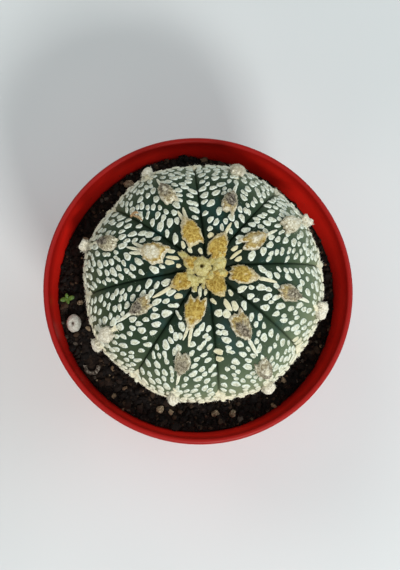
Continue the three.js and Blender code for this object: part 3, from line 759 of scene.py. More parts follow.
def shapeAreole(pad, number, draw):
    shield = [Vector(corner) for corner in areole["shield"]]
    for corners, span in (areole["prongs"], areole["notches"]):
        for corner in corners:
            shield[corner] *= draw.uniform(*span)
    reaches = {}

    def outline(angle):
        if angle not in reaches:
            circle = (2.2 * cos(angle), 2.2 * sin(angle), 0)
            ragged = 1 + areole["ragged"] * lumps(circle, 0.5, number + 1)
            reaches[angle] = reachOf(shield, angle) * ragged
        reach = reaches[angle]
        return reach * pad["halfLength"] * cos(angle), reach * pad["halfWidth"] * sin(angle)

    def profile(share, angle, x, y):
        bend = pi / 2 + areole["overhang"] * eased(pad["tilt"], 40, 75)
        place = (x * share, y * share, 0)
        wool = 0.2 * lumps(place, 0.7, number) + 0.14 * lumps(place, 0.32, number + 50)
        wool += 0.7 * eased(pad["tilt"], 70, 80) * lumps(place, 1.3, number + 70)
        slope = 0.74 + 0.26 * eased(x * share, -pad["halfLength"], 0)
        dome = cos(share * pi / 2) ** 0.5
        knobby = mixed(*areole["knobby"], eased(pad["tilt"], 70, 80))
        spread = sin(share * bend) * (1 + knobby * lumps(place, 1.2, number + 9))
        return spread, pad["height"] * dome * slope + wool * min(1, 5 * (1 - share))

    pad["outline"], pad["profile"] = outline, profile


def makeAreoles():
    draw = random.Random(11)
    pattern = padPattern(areole["shares"], areole["spokes"], ("age", "edge", "out", "pale", "dark"))
    shape = bmesh.new()
    for number, pad in enumerate(areolePads):
        shapeAreole(pad, number, draw)
        age = min(1, pad["tilt"] / 84) + draw.uniform(-areole["ages"], areole["ages"])
        marks = {
            "age": age, "edge": edgeShare, "out": lambda share, angle: share * cos(angle),
            "pale": areole["pale"].get(pad["tilt"], 0), "dark": areole["dark"].get(pad["tilt"], 0),
        }
        layPad(shape, pattern, pad, marks, 0.4)
    finishGrowth(shape, "areolePads", areoleFelt())


# Pale felt strips that run on outward from the areoles

strip = {
    "overlap": 0.5, "apart": 1.3, "halfWidth": 0.4, "height": 0.4, "least": 0.5, "aboveSoil": 0.4,
    "wide": (0.88, 1.12), "bend": 0.12, "fan": 0.1, "stray": 0.1, "taper": 0.22, "ragged": 0.12,
    "shares": (0, 0.5, 0.85, 0.97), "spokes": 20,
}
feltMarks = ("rim", "warm", "cream")  # those that white felt reads


def listStrips():
    draw = random.Random(9)
    pieces = []
    for pad in areolePads:
        count = len(pad["strips"])
        for number, length in enumerate(pad["strips"]):
            left = (number - (count - 1) / 2) * strip["apart"]
            start = pad["halfLength"] * (1 - 0.16 * abs(left)) - strip["overlap"]
            end = min(start + strip["overlap"] + length, pad["room"] + 0.4)
            long, wide = (end - start) / 2, strip["halfWidth"] * draw.uniform(*strip["wide"])
            bent = draw.uniform(-strip["bend"], strip["bend"])
            stray = draw.uniform(-strip["stray"], strip["stray"])
            middle = beside(pad["spot"], (start + end) / 2, left * 0.8 + stray)
            if long < strip["least"] or not clearOfSoil(beside(middle, long, 0), strip["aboveSoil"]):
                continue

            def outline(angle, long=long, wide=wide, bent=bent, number=number):
                x, y = blunted(cos(angle), 0.8), blunted(sin(angle), 0.7)
                taper = (1 - strip["taper"] * x) * (1 + strip["ragged"] * sin(7 * x + number))
                return long * x, wide * taper * y + bent * x * x

            pieces.append({
                "spot": middle, "slant": left * strip["fan"], "tilt": pad["tilt"], "halfLength": long,
                "halfWidth": wide, "outline": outline, "profile": feltProfile(strip["height"]),
            })
    return pieces


stripPads = listStrips()


def makeStrips():
    pattern = padPattern(strip["shares"], strip["spokes"], feltMarks)
    shape = bmesh.new()
    for piece in stripPads:
        marks = {
            "rim": lambda share, angle: 0.55 + 0.4 * share,
            "warm": 0.9 * (1 - eased(piece["tilt"], 8, 40)),
            "cream": 0.2 + 0.8 * eased(piece["tilt"], 30, 70),
        }
        layPad(shape, pattern, piece, marks)
    finishGrowth(shape, "feltStrips", whiteFelt())


# Felt flecks

fleck = {
    "tilts": (11, 127),  # between which flecks grow
    "halfLength": 1.03,
    "halfWidth": 0.68,
    "sizes": (0.7, 1.16),
    "height": 0.26,
    "lowHeight": 0.42,  # of those low on the body, which overlap in a view from above
    "slant": radians(48),
    "straight": 3,  # those nearer to the crest than this turn in line with it
    "groovePath": 0.45,  # bare skin kept beside each groove
    "lowPath": 0.2,
    "aboveSoil": 0.3,
    "spacing": 1.96,  # for two of size 1
    "lowSpacing": 1.66,
    "oval": (1.25, 0.84),  # how far the spacing stretches along a fleck and beside it
    "closest": 0.64,  # share of that spacing at which two flecks grow into each other
    "friendly": 0.24,  # share of the flecks that let another one so close
    "tries": 90000,
    "shares": (0, 0.6, 0.88, 0.98),
    "spokes": 12,
    "cell": 3.0,
    "lean": 0.3,  # how far the slant strays
    "nearCrown": (0.03, 0.08),  # how much larger, and how much longer still, those round the crown are
    "long": (0.9, 1.16),
    "wide": (0.9, 1.12),
    "blunt": (0.82, 1.15),
    "taper": 0.2,
    "uneven": (0.2, 0.4),  # in height, on top of the body and how much more below
    "double": 0.07,  # share that has grown from two
    "doubleLength": 1.3,
    "waist": (0.36, 0.3),  # how deep and how wide it is between the two
    "inLine": 0.7,  # how far a fleck turns into line with the one it grows into
    "waves": ((2, 0.06), (3, 0.09), (5, 0.06)),  # in the outline: how many and how strong
    "hairs": 6,  # on each of those low on the body
    "hairy": (76, 106),  # tilts of those
    # Yellowish ones beside the grooves: tilt and turn, size, slant and warmth
    "chosen": [
        (41, -81.2, 1.0, 1.3, 0.7), (45.5, -81, 0.98, 1.5, 0.8), (66, -35, 0.95, 1.2, 0.6),
        (70.5, -34.6, 1.0, 1.4, 0.5), (75.5, -35, 0.9, 1.4, 0.6), (76, -81.5, 0.8, 1.2, 0.6),
        (80, -84.5, 0.8, -1.2, 0.6),
    ],
}
lowFlecks = []


def cellOf(place):
    return tuple(floor(value / fleck["cell"]) for value in place)


def inTheWay(foot, size):  # an areole, a strip or a fleck beside the crown already lies there
    halfWidth = fleck["halfWidth"] * size
    if any(nearness(pad, foot, halfWidth * 0.75) < 1 for pad in areolePads):
        return True
    if any(nearness(pad, foot, halfWidth) < 1 for pad in stripPads):
        return True
    x, y = foot.x - crown["x"], foot.y - crown["y"]
    return any(
        hypot(x - px, y - py) < 0.35 * (length + width) + size * 0.7
        for px, py, length, width, turn, warm in crown["flecks"])


def tooClose(placed, foot, size, spacing):  # flecks nearer than the spacing, each with the share of it
    cell = cellOf(foot)
    found = []
    for x, y, z in product((-1, 0, 1), repeat=3):
        for other in placed.get((cell[0] + x, cell[1] + y, cell[2] + z), ()):
            offset = foot - other["foot"]
            along = offset.dot(other["axis"])
            aside = sqrt(max(0, offset.length_squared - along ** 2))
            apart = hypot(along / fleck["oval"][0], aside / fleck["oval"][1])
            apart /= spacing * (size + other["size"]) / 2
            if apart < 1:
                found.append((apart, other))
    return found


def listFlecks():
    draw = random.Random(20)
    placed = {}
    flecks = []
    first, last = (arcOf(radians(tilt)) for tilt in fleck["tilts"])

    def keep(each):
        ahead = beside(each["spot"], 0.5 * cos(each["slant"]), 0.5 * sin(each["slant"]))
        each["axis"] = (skinPlace(*ahead, 0) - each["foot"]).normalized()
        placed.setdefault(cellOf(each["foot"]), []).append(each)
        flecks.append(each)

    for tilt, turn, size, slant, warm in fleck["chosen"]:
        spot = (radians(tilt), radians(turn))
        keep({
            "foot": skinPlace(*spot, 0), "friendly": False, "spot": spot, "slant": slant, "size": size,
            "warm": warm, "stretch": 1,
        })
    for trial in range(fleck["tries"]):
        spot = (tiltOf(mixed(first, last, draw.random())), fullTurn * draw.random())
        tilt, radius = degrees(spot[0]), body["radius"] * sin(spot[0])
        chance, size = draw.random(), draw.uniform(*fleck["sizes"])
        lean = draw.uniform(-fleck["lean"], fleck["lean"])
        friendly = draw.random() < fleck["friendly"]
        if chance > radius / body["radius"]:
            continue
        rib, across = ribAt(spot[1])
        halfRib = radius * rib["width"] / 2
        foot = skinPlace(*spot, 0)
        high = eased(tilt, 50, 25) * eased(tilt, 10, 20)
        size *= 1 + fleck["nearCrown"][0] * high
        path = mixed(fleck["groovePath"], fleck["lowPath"], eased(tilt, 70, 95))
        if (1 - abs(across)) * halfRib < fleck["halfWidth"] * size + path or inTheWay(foot, size):
            continue
        fromCrest = -across * halfRib
        straightness = min(1, abs(fromCrest) / fleck["straight"])
        slant = -copysign(fleck["slant"], fromCrest) * straightness + lean
        if not clearOfSoil(beside(spot, fleck["halfLength"], 0), fleck["aboveSoil"]):
            continue
        spacing = mixed(fleck["spacing"], fleck["lowSpacing"], eased(tilt, 76, 88))
        close = tooClose(placed, foot, size, spacing)
        if len(close) > 1 or (close and (close[0][0] < fleck["closest"] or not close[0][1]["friendly"])):
            continue
        if close:  # the two grow together and lie in line
            close[0][1]["friendly"] = False
            slant += (close[0][1]["slant"] - slant) * fleck["inLine"]
        warm = eased(tilt, 22, 12) * draw.uniform(0.3, 1)
        keep({
            "foot": foot, "friendly": friendly, "spot": spot, "slant": slant, "size": size, "warm": warm,
            "stretch": 1 + fleck["nearCrown"][1] * high,
        })
    return flecks


def makeFlecks():
    draw = random.Random(5)
    pattern = padPattern(fleck["shares"], fleck["spokes"], feltMarks)
    shape = bmesh.new()
    flecks = listFlecks()
    for each in flecks:
        waves = [(count, draw.uniform(0, fullTurn), strength) for count, strength in fleck["waves"]]
        long = fleck["halfLength"] * each["size"] * draw.uniform(*fleck["long"]) * each["stretch"]
        wide = fleck["halfWidth"] * each["size"] * draw.uniform(*fleck["wide"])
        double = draw.random() < fleck["double"]
        power, taper = draw.uniform(*fleck["blunt"]), draw.uniform(-fleck["taper"], fleck["taper"])

        def outline(angle):
            ragged = 1 + sum(strength * sin(count * angle + phase) for count, phase, strength in waves)
            waist = 1 - fleck["waist"][0] * exp(-((cos(angle) / fleck["waist"][1]) ** 2)) if double else 1
            stretch = fleck["doubleLength"] if double else 1
            x, y = blunted(cos(angle), 0.9), blunted(sin(angle), power)
            return long * stretch * ragged * x, wide * waist * ragged * (y * (1 + taper * x))

        tilt = degrees(each["spot"][0])
        low = eased(tilt, 72, 88)
        uneven = 1 + (fleck["uneven"][0] + fleck["uneven"][1] * low) * draw.uniform(-1, 1)
        height = mixed(fleck["height"], fleck["lowHeight"], low) * uneven
        pad = {
            "spot": each["spot"], "slant": each["slant"], "outline": outline, "profile": feltProfile(height),
        }
        cream = eased(tilt, 66, 86) * draw.uniform(0.5, 1)
        layPad(shape, pattern, pad, {"rim": edgeShare, "warm": each["warm"], "cream": cream})
        if fleck["hairy"][0] < tilt < fleck["hairy"][1]:
            lowFlecks.append(pad)
    print("flecks:", len(flecks))
    finishGrowth(shape, "feltFlecks", whiteFelt())


# Wool of the crown round its small pit, and the tufts at the lower ends of the grooves

crown = {
    "x": -1.1,
    "y": 0.5,
    "radius": 2.4,
    "height": 1.95,
    "pit": 0.12,  # share of the radius
    "ragged": 0.2,
    "wool": 0.22,
    "lobeRagged": 0.09,
    "lobeWool": 0.2,
    "fleckRagged": 0.07,
    "fleckHeight": (0.3, 0.42),
    "shares": (0, 0.05, 0.11, 0.18, 0.28, 0.4, 0.53, 0.66, 0.78, 0.88, 0.95),
    "spokes": 56,
    "hairs": (420, 70),  # on the middle and on each lobe
    # Woolly lobes round it: x and y from the pit, length, width, turn of the long side, height, gold
    "lobes": [
        (-4, 2.4, 3.4, 1.7, 140, 1.1, 0), (-2.9, 1, 3.2, 3, 110, 1.15, 0.4),
        (-2.6, -1.1, 2.4, 2.2, 60, 1, 0.1), (4.1, 0.8, 4.8, 3.2, 80, 1.3, 0),
        (2.7, 1.4, 2.4, 2.4, 40, 0.95, 0), (4.1, 2.9, 3.6, 2.8, 60, 1.4, 0.7),
        (-2.3, -3.2, 4.2, 2.7, -35, 1.2, 0), (2.2, -2.5, 3.6, 3, -50, 1.2, 0.4),
        (0.1, -3.1, 3.2, 2.2, 0, 0.9, 0), (4.3, -1.6, 3.8, 2.4, 8, 1.25, 0.5),
        (-1.6, -5, 2.2, 1.2, 95, 0.6, 0), (-4.3, -3, 1.4, 1.1, 20, 0.6, 0), (0.4, -4.6, 1.6, 0.9, 85, 0.5, 0),
    ],
    # Small flecks between it and the areoles, in the same way: x, y, length, width, turn, warmth
    "flecks": [
        (-7.2, 3.6, 2.0, 1.0, -8, 0.6), (-6.7, 2.0, 3.2, 0.9, -8, 0.9), (-7.5, 0.9, 2.2, 1.2, -4, 0.7),
        (-5.4, 0.1, 1.2, 1.0, 0, 0.9), (-5.4, -7.0, 2.0, 1.3, 8, 0.7), (-0.4, -6.0, 2.7, 0.85, 88, 0.4),
        (0.9, -6.1, 1.6, 0.8, 80, 0.5), (-1.8, -5.5, 1.4, 1.0, 70, 0.6), (2.7, -8.2, 1.9, 0.9, -42, 0.6),
        (3.9, -10.9, 1.9, 1.8, 20, 0.3), (5.8, -11.1, 2.2, 1.8, -50, 0.4), (6.0, -9.1, 3.2, 1.3, -58, 0.7),
        (7.7, -9.2, 2.5, 1.5, -70, 0.5), (6.7, -6.2, 1.7, 1.0, -60, 0.4), (5.2, -1.2, 1.2, 1.1, 0, 0.0),
        (-0.3, 3.7, 1.6, 1.0, 112, 0.6), (2.1, 7.4, 1.6, 1.3, 30, 0.9), (7.7, 4.3, 1.9, 1.0, 35, 0.9),
        (8.0, 2.9, 3.6, 0.8, 38, 0.9), (8.6, 1.8, 1.8, 1.1, 30, 0.9),
    ],
}
crownPads = []


def crownSpot(x, y):
    x, y = x + crown["x"], y + crown["y"]
    return tiltOf(hypot(x, y)), atan2(y, x)


def ovalPad(draw, spot, turn, length, width, ragged, profile):  # turn is that of its long side
    phase = draw.uniform(0, fullTurn)

    def outline(angle):
        wave = 1 + ragged * (sin(3 * angle + phase) + 0.7 * sin(5 * angle + 2 * phase))
        return length / 2 * wave * blunted(cos(angle), 0.88), width / 2 * wave * blunted(sin(angle), 0.88)

    return {"spot": spot, "slant": turn - spot[1], "outline": outline, "profile": profile}


def makeCrown():
    draw = random.Random(2)
    pattern = padPattern(crown["shares"], crown["spokes"], ("pit", "golden"))
    shape = bmesh.new()

    def outline(angle):
        x, y = crown["radius"] * cos(angle), crown["radius"] * sin(angle)
        reach = 1 + crown["ragged"] * lumps((x, y, 0), 0.8, 4)
        return x * reach, y * reach

    def profile(share, angle, x, y):
        ring = (1 - share ** 3) ** 0.6 * eased(share, crown["pit"] * 0.3, crown["pit"] * 2.4)
        wool = crown["wool"] * lumps((x * share, y * share, 0), 0.6)
        return share, 0.1 + (crown["height"] + wool) * ring

    crownPads.append({"spot": crownSpot(0, 0), "slant": 0, "outline": outline, "profile": profile})
    pit = {"pit": lambda share, angle: 1 - eased(share, 0.05, 0.16), "golden": 0}
    layPad(shape, pattern, crownPads[0], pit)
    for number, (x, y, length, width, turn, height, golden) in enumerate(crown["lobes"]):

        def back(share, angle, x, y, height=height, number=number):
            wool = crown["lobeWool"] * lumps((x * share, y * share, 0), 0.8, number + 20)
            return share, (height + wool) * cos(share * pi / 2) ** 0.6 + 0.05

        lobe = ovalPad(draw, crownSpot(x, y), radians(turn), length, width, crown["lobeRagged"], back)
        crownPads.append(lobe)
        layPad(shape, pattern, lobe, {"pit": 0, "golden": golden})
    finishGrowth(shape, "crownWool", crownFelt())


def makeCrownFlecks():
    draw = random.Random(8)
    pattern = padPattern(fleck["shares"], strip["spokes"], feltMarks)
    shape = bmesh.new()
    for x, y, length, width, turn, warm in crown["flecks"]:
        profile = feltProfile(draw.uniform(*crown["fleckHeight"]))
        pad = ovalPad(draw, crownSpot(x, y), radians(turn), length, width, crown["fleckRagged"], profile)
        layPad(shape, pattern, pad, {"rim": edgeShare, "warm": warm, "cream": 0})
    finishGrowth(shape, "crownFlecks", whiteFelt())


tuft = {
    "tilt": radians(87), "pads": 12, "height": 1.1, "hairs": 24,
    "halfLength": (0.7, 1.2), "halfWidth": (0.4, 0.7), "rise": (0.4, 1.15), "slant": 1.3, "ragged": 0.14,
    "out": (-3.4, 2.4),  # where its first and last pad lie along the groove
    # The smaller tufts round the areoles between two tilts
    "areoleTilts": (66, 100), "areolePads": 7, "areoleSpread": 1.2, "areoleGrowth": 0.95,
}
tuftPads = []


def makeTufts():
    draw = random.Random(15)
    pattern = padPattern(strip["shares"], strip["spokes"], feltMarks)
    shape = bmesh.new()
    low, high = tuft["areoleTilts"]
    places = [((tuft["tilt"], radians(rib["start"])), 1, 1, tuft["pads"]) for rib in ribs]
    places += [
        (pad["spot"], tuft["areoleSpread"], tuft["areoleGrowth"], tuft["areolePads"])
        for pad in areolePads if low <= pad["tilt"] <= high]
    for middle, spread, growth, count in places:
        for number in range(count):
            out = mixed(*tuft["out"], number / (count - 1))
            left = draw.uniform(-1, 1) * eased(out, -4.5, -0.5) * spread
            long, wide = draw.uniform(*tuft["halfLength"]), draw.uniform(*tuft["halfWidth"])
            height = tuft["height"] * growth * draw.uniform(*tuft["rise"]) * eased(out, -5, 0)

            def profile(share, angle, x, y, height=height):
                return share, height * cos(share * pi / 2) ** 0.7 * (1 + 0.3 * lumps((x, y, height), 0.6))

            pad = ovalPad(draw, beside(middle, out, left), 0, long * 2, wide * 2, tuft["ragged"], profile)
            pad["slant"] = draw.uniform(-tuft["slant"], tuft["slant"])
            tuftPads.append(pad)
            marks = {"rim": 0.9, "warm": draw.uniform(0.2, 0.7), "cream": draw.uniform(0.5, 1)}
            layPad(shape, pattern, pad, marks, 0.6)
    finishGrowth(shape, "grooveTufts", whiteFelt())


# Short hairs that stand out of the felt

hair = {
    "radius": 0.03, "length": (0.25, 0.55), "sunk": 0.08, "lean": 0.8, "stray": 0.2, "droop": 0.55,
    "tones": 0.1,  # how far the tone strays
}
# Thicker tapered locks of wool that stand out of the old areoles and the tufts
lock = {"radius": 0.11, "longer": 1.9, "onAreole": 16, "onTuft": 2, "oldTilt": 60}


def makeHairs():
    draw = random.Random(21)
    cone = bmesh.new()
    upright = Matrix.Translation((0, 0, 0.5))
    bmesh.ops.create_cone(
        cone, cap_ends=True, segments=3, radius1=1, radius2=0.001, depth=1, matrix=upright)
    bmesh.ops.remove_doubles(cone, verts=cone.verts, dist=0.01)  # the tip becomes one point
    pattern = asMesh(cone, ("tone",))
    shape = bmesh.new()

    def grow(pad, count, tone, least, longer=1, radius=hair["radius"]):
        for number in range(count):
            share, angle = mixed(least, 0.97, sqrt(draw.random())), draw.uniform(0, fullTurn)
            root, lift = padPoint(pad, share, angle)
            length = draw.uniform(*hair["length"]) * longer
            away = length * share * hair["lean"]
            start = onSkin(root, lift - hair["sunk"])
            along = cos(angle + pad["slant"]) * away + draw.uniform(-hair["stray"], hair["stray"])
            aside = sin(angle + pad["slant"]) * away + draw.uniform(-hair["stray"], hair["stray"])
            tip = onSkin(beside(root, along, aside), lift + length * (1 - hair["droop"] * share))
            path = tip - start
            strand = pattern.copy()
            turned = path.to_track_quat("Z", "Y").to_matrix().to_4x4()
            sizes = Matrix.Diagonal((radius, radius, path.length, 1))
            strand.transform(Matrix.Translation(start) @ turned @ sizes)
            addCopy(shape, strand, tone + draw.uniform(-hair["tones"], hair["tones"]))

    for pad in areolePads:
        grown = eased(pad["tilt"], 10, 60)
        grow(pad, areole["hairs"], mixed(0.45, 0.95, grown), 0.5, mixed(0.6, 1, grown))
        if pad["tilt"] > lock["oldTilt"]:
            grow(pad, lock["onAreole"], 0.9, 0.6, lock["longer"], lock["radius"])
    for number, pad in enumerate(crownPads):
        grow(pad, crown["hairs"][number > 0], 0.5, 0.2)
    for pad in tuftPads:
        grow(pad, tuft["hairs"], 0.85, 0.3)
        grow(pad, lock["onTuft"], 0.8, 0.5, lock["longer"], lock["radius"])
    for pad in lowFlecks:
        grow(pad, fleck["hairs"], 0.85, 0.2, 1.1)
    finishGrowth(shape, "feltHairs", feltHair())


# A dry scrap of skin that has caught in one groove

scrap = {
    "spot": (radians(50), radians(142.5)), "lift": 0.45,
    # How far outward and to the left, slant, half length and half width
    "prongs": [(0.1, -1.1, 0.76, 1.35, 0.42), (-1.7, -0.8, 0.08, 1.75, 0.3)],
}


def makeScrap():
    pattern = padPattern(strip["shares"], strip["spokes"], ())
    shape = bmesh.new()
    for out, left, slant, halfLength, halfWidth in scrap["prongs"]:

        def outline(angle, halfLength=halfLength, halfWidth=halfWidth):
            x = cos(angle)
            return halfLength * x, halfWidth * (sin(angle) * (1 - 0.4 * x) + 0.9 * x * x)

        def profile(share, angle, x, y, halfLength=halfLength):
            return share, scrap["lift"] * (1 - share ** 5) + 0.3 * abs(x * share / halfLength) ** 3 + 0.05

        spot = beside(scrap["spot"], out, left)
        layPad(shape, pattern, {"spot": spot, "slant": slant, "outline": outline, "profile": profile}, {})
    finishGrowth(shape, "dryScrap", driedSkin())


# Pot

pot = {
    "height": 68,
    "rimRadius": 39,
    "wall": 1.5,
    "taper": tan(radians(9.5)),
    "collar": 13,
    "collarTaper": tan(radians(4)),
    "footHeight": 2,
    "footWidth": 2.3,
    "floor": 1.6,
    "steps": 192,
    "drains": 6,  # and one in the middle
    "drainRadius": 2.5,
    "drainCircle": 15,
    "drainSides": 28,
    "notches": 4,
    "notchWidth": 5,
    "notchHeight": 1.2,
}


def innerRadius(height):
    return pot["rimRadius"] - pot["wall"] - (pot["height"] - height) * pot["taper"]


def makePot():
    wall, foot, top = pot["wall"], pot["footHeight"], pot["height"]
    floorTop = foot + pot["floor"]
    collarFoot = top - pot["collar"]
    collarRadius = pot["rimRadius"] - pot["collar"] * pot["collarTaper"]
    base = innerRadius(0) + wall
    lip = wall / 2
    underside = base - pot["footWidth"]
    profile = [(underside, foot), (underside, 0.25), (underside + 0.25, 0)]
    profile += [(base - 0.3, 0), (base + 0.05, 0.3)]
    profile += [(innerRadius(height) + wall, height) for height in (1.3, 8, 20, 35, 50, collarFoot - 0.6)]
    profile += [(innerRadius(collarFoot) + wall + 0.2, collarFoot - 0.1), (collarRadius - 0.35, collarFoot)]
    profile += [(collarRadius, collarFoot + 0.35), (pot["rimRadius"] - 0.1, top - lip - 1.2)]
    lipSteps = 12
    for step in range(lipSteps + 1):
        angle = pi * step / lipSteps
        profile.append((pot["rimRadius"] - lip + lip * cos(angle), top - lip + lip * sin(angle)))
    profile += [(innerRadius(height), height) for height in (64, 60, 56, 50, 35, 20, 8, floorTop + 1)]
    profile += [(innerRadius(floorTop + 1) - 0.2, floorTop + 0.4), (innerRadius(floorTop) - 0.9, floorTop)]
    shape = spunLine([(radius, 0, height) for radius, height in profile], pot["steps"])
    drains = [[] for hole in range(pot["drains"] + 1)]
    for side in (foot, floorTop):
        ring = [edge for edge in shape.edges if edge.is_boundary and abs(edge.verts[0].co.z - side) < 0.01]
        for hole in range(pot["drains"] + 1):
            turn = fullTurn * (hole + 0.5) / pot["drains"]
            out = pot["drainCircle"] if hole < pot["drains"] else 0
            place = Matrix.Translation((out * cos(turn), out * sin(turn), side))
            made = bmesh.ops.create_circle(
                shape, cap_ends=False, segments=pot["drainSides"], radius=pot["drainRadius"], matrix=place)
            circle = list(dict.fromkeys(edge for corner in made["verts"] for edge in corner.link_edges))
            ring += circle
            drains[hole] += circle
        bmesh.ops.triangle_fill(shape, edges=ring, use_beauty=True, use_dissolve=False)
    for circles in drains:
        bmesh.ops.bridge_loops(shape, edges=circles)
    marks = shape.verts.layers.float
    dust, lipMark = marks.new("dust"), marks.new("lip")
    for corner in shape.verts:
        turn, reach = atan2(corner.co.y, corner.co.x), corner.co.xy.length
        off = (turn * pot["notches"] / fullTurn) % 1 - 0.5
        inNotch = abs(off) * fullTurn / pot["notches"] * base < pot["notchWidth"] / 2
        if corner.co.z < pot["notchHeight"] and reach > underside - 0.1 and inNotch:
            corner.co.z = pot["notchHeight"]
        # painted shade mark on the lip, read by the red plastic
        corner[lipMark] = eased(corner.co.z, top - 1.6, top - 0.4)
        inside = reach < innerRadius(corner.co.z) + 0.3
        # dust and painted shade: 1 at the soil, fading to 0 near the rim, on the inside of the wall only
        corner[dust] = 1 - eased(corner.co.z, soil["level"], top - 2) if inside else 0
    closeUp(shape)
    finishPiece(shape, "potShell", redPlastic(), ["pot"])


# Soil

def makeSoilBed():
    floorTop = pot["footHeight"] + pot["floor"]
    gap, room = soil["potRoom"], soil["socketRoom"]
    low = [(0, floorTop + gap), (innerRadius(floorTop + 1) - 1.2, floorTop + gap)]
    low += [(innerRadius(height) - gap, height) for height in (floorTop + 2, 20, 40, 56)]
    socket = [smoothSkin(radians(tilt)) for tilt in soil["socketTilts"]]
    socket = [(radius + room * normal.x, height + room * normal.y) for radius, height, normal in socket]
    socket += [(radius + room, height - room) for radius, height in body["root"][:-1]]
    socket.append((0, body["root"][-1][1] - 2 * room))
    rows = soil["rows"]
    count = len(low) + rows + 1 + len(socket)
    shape = spunLine([(1, 0, row) for row in range(count)], soil["columns"])
    for corner in shape.verts:
        row = round(corner.co.z)
        turn = atan2(corner.co.y, corner.co.x)
        ray = Vector((cos(turn), sin(turn), 0))
        if row < len(low):
            corner.co = ray * low[row][0] + Vector((0, 0, low[row][1]))
        elif row <= len(low) + rows:
            share = (row - len(low)) / rows
            mouth = plantPlace @ (ray * socket[0][0] + Vector((0, 0, socket[0][1])))
            place = (ray * soil["edge"]).lerp(mouth, share)
            x, y = place.xy
            rough = 0.45 * lumps((x, y, 0), 1.6) + 0.25 * lumps((x, y, 5), 0.8)
            calm = min(1, 8 * share, 8 * (1 - share))
            corner.co = (x, y, mixed(soilHeight(x, y), mouth.z, eased(share, 0.8, 1)) - 0.25 + rough * calm)
        else:
            radius, height = socket[row - len(low) - rows - 1]
            corner.co = plantPlace @ (ray * radius + Vector((0, 0, height)))
    closeUp(shape)
    finishPiece(shape, "soilBed", pottingMix(), ["soil"])


grains = {
    "kinds": [  # how many, and the half size in millimetres
        {"count": 4600, "size": (0.22, 0.5), "stretch": 1.6},
        {"count": 1400, "size": (0.5, 1.1), "stretch": 1.5},
        {"count": 260, "size": (0.18, 0.3), "stretch": 6},
    ],
    "nearest": 18.5,
    "farthest": 35.6,
    "patterns": 6,
    "uneven": (0.6, 1.2),
    "lift": (-0.25, 0.55),
    "squash": (0.55, 0.9),
    "lean": 0.5,
}


def keptClear(x, y, size):  # whether a grain there misses the small things on the soil
    things = [(bead["x"], bead["y"], 2.3), (curl["x"], curl["y"], 2.2), (sprout["x"], sprout["y"], 0.6)]
    things += [(px, py, max(halves[:2])) for px, py, halves in pebbles]
    return all(hypot(x - px, y - py) > radius + size * 0.7 for px, py, radius in things)


def makeGrains():
    draw = random.Random(3)
    patterns = []
    for number in range(grains["patterns"]):
        stone = bmesh.new()
        bmesh.ops.create_icosphere(stone, subdivisions=1, radius=1)
        for corner in stone.verts:
            corner.co *= draw.uniform(*grains["uneven"])
        patterns.append(asMesh(stone, ("tone",)))
    shape = bmesh.new()
    for kind in grains["kinds"]:
        for number in range(kind["count"]):
            radius = sqrt(mixed(grains["nearest"] ** 2, grains["farthest"] ** 2, draw.random()))
            turn, size, tone = draw.uniform(0, fullTurn), draw.uniform(*kind["size"]), draw.random()
            lift, squash = draw.uniform(*grains["lift"]), draw.uniform(*grains["squash"])
            spin, lean = draw.uniform(0, fullTurn), draw.uniform(-grains["lean"], grains["lean"])
            pick = draw.choice(patterns)
            long = size * mixed(1, kind["stretch"], draw.random())
            x, y = radius * cos(turn), radius * sin(turn)
            z = soilHeight(x, y) + lift * size
            inPlant = intoPlant @ Vector((x, y, z + size))
            skin = body["radius"] * sqrt(max(0, 1 - ((inPlant.z - body["widest"]) / body["drop"]) ** 2))
            crossing = inPlant.xy.length < skin + size or radius + long * 0.8 > innerRadius(z)
            if crossing or not keptClear(x, y, size):
                continue
            stone = pick.copy()
            sizes = Matrix.Diagonal((long, size, size * squash, 1))
            stone.transform(
                Matrix.Translation((x, y, z)) @ Matrix.Rotation(spin, 4, "Z")
                @ Matrix.Rotation(lean, 4, "Y") @ sizes)
            addCopy(shape, stone, tone)
    finishPiece(shape, "soilGrains", mixGrains(), smooth=False)


# Small things that lie on the soil

bead = {
    "x": -31.6, "y": -8.4, "size": (1.9, 2.3, 1.8), "raised": 0.55, "uneven": 0.05, "flattened": 0.05,
    "pit": 0.7, "pitPlace": (-0.25, -0.12, 1), "pitDepth": 0.45,
}


def makeBead():
    shape = bmesh.new()
    bmesh.ops.create_icosphere(shape, subdivisions=4, radius=1)
    pitMark = shape.verts.layers.float.new("pit")
    pitTop = Vector(bead["pitPlace"]).normalized()
    for corner in shape.verts:
        fromPit = (corner.co - pitTop).length * bead["size"][0]
        dent = bead["pitDepth"] * (1 - eased(fromPit, bead["pit"] * 0.4, bead["pit"] * 1.3))
        dent += bead["flattened"] * eased(corner.co.x, 0.2, 1)
        corner[pitMark] = 1 - eased(fromPit, bead["pit"] * 0.5, bead["pit"] * 0.9)
        corner.co *= 1 - dent + bead["uneven"] * lumps(corner.co, 0.5)
    bmesh.ops.scale(shape, vec=bead["size"], verts=shape.verts)
    z = soilHeight(bead["x"], bead["y"]) + bead["size"][2] * bead["raised"]
    bmesh.ops.translate(shape, vec=(bead["x"], bead["y"], z), verts=shape.verts)
    finishPiece(shape, "perliteBead", chalkyMineral(), ["perlite_bead"])


curl = {
    "x": -26.9, "y": -19.4, "outer": 2.1, "inner": 1.2, "from": 170, "to": 372, "height": 1, "steps": 26,
    "uneven": 0.13, "wavy": 0.35, "sunk": 0.35,
}


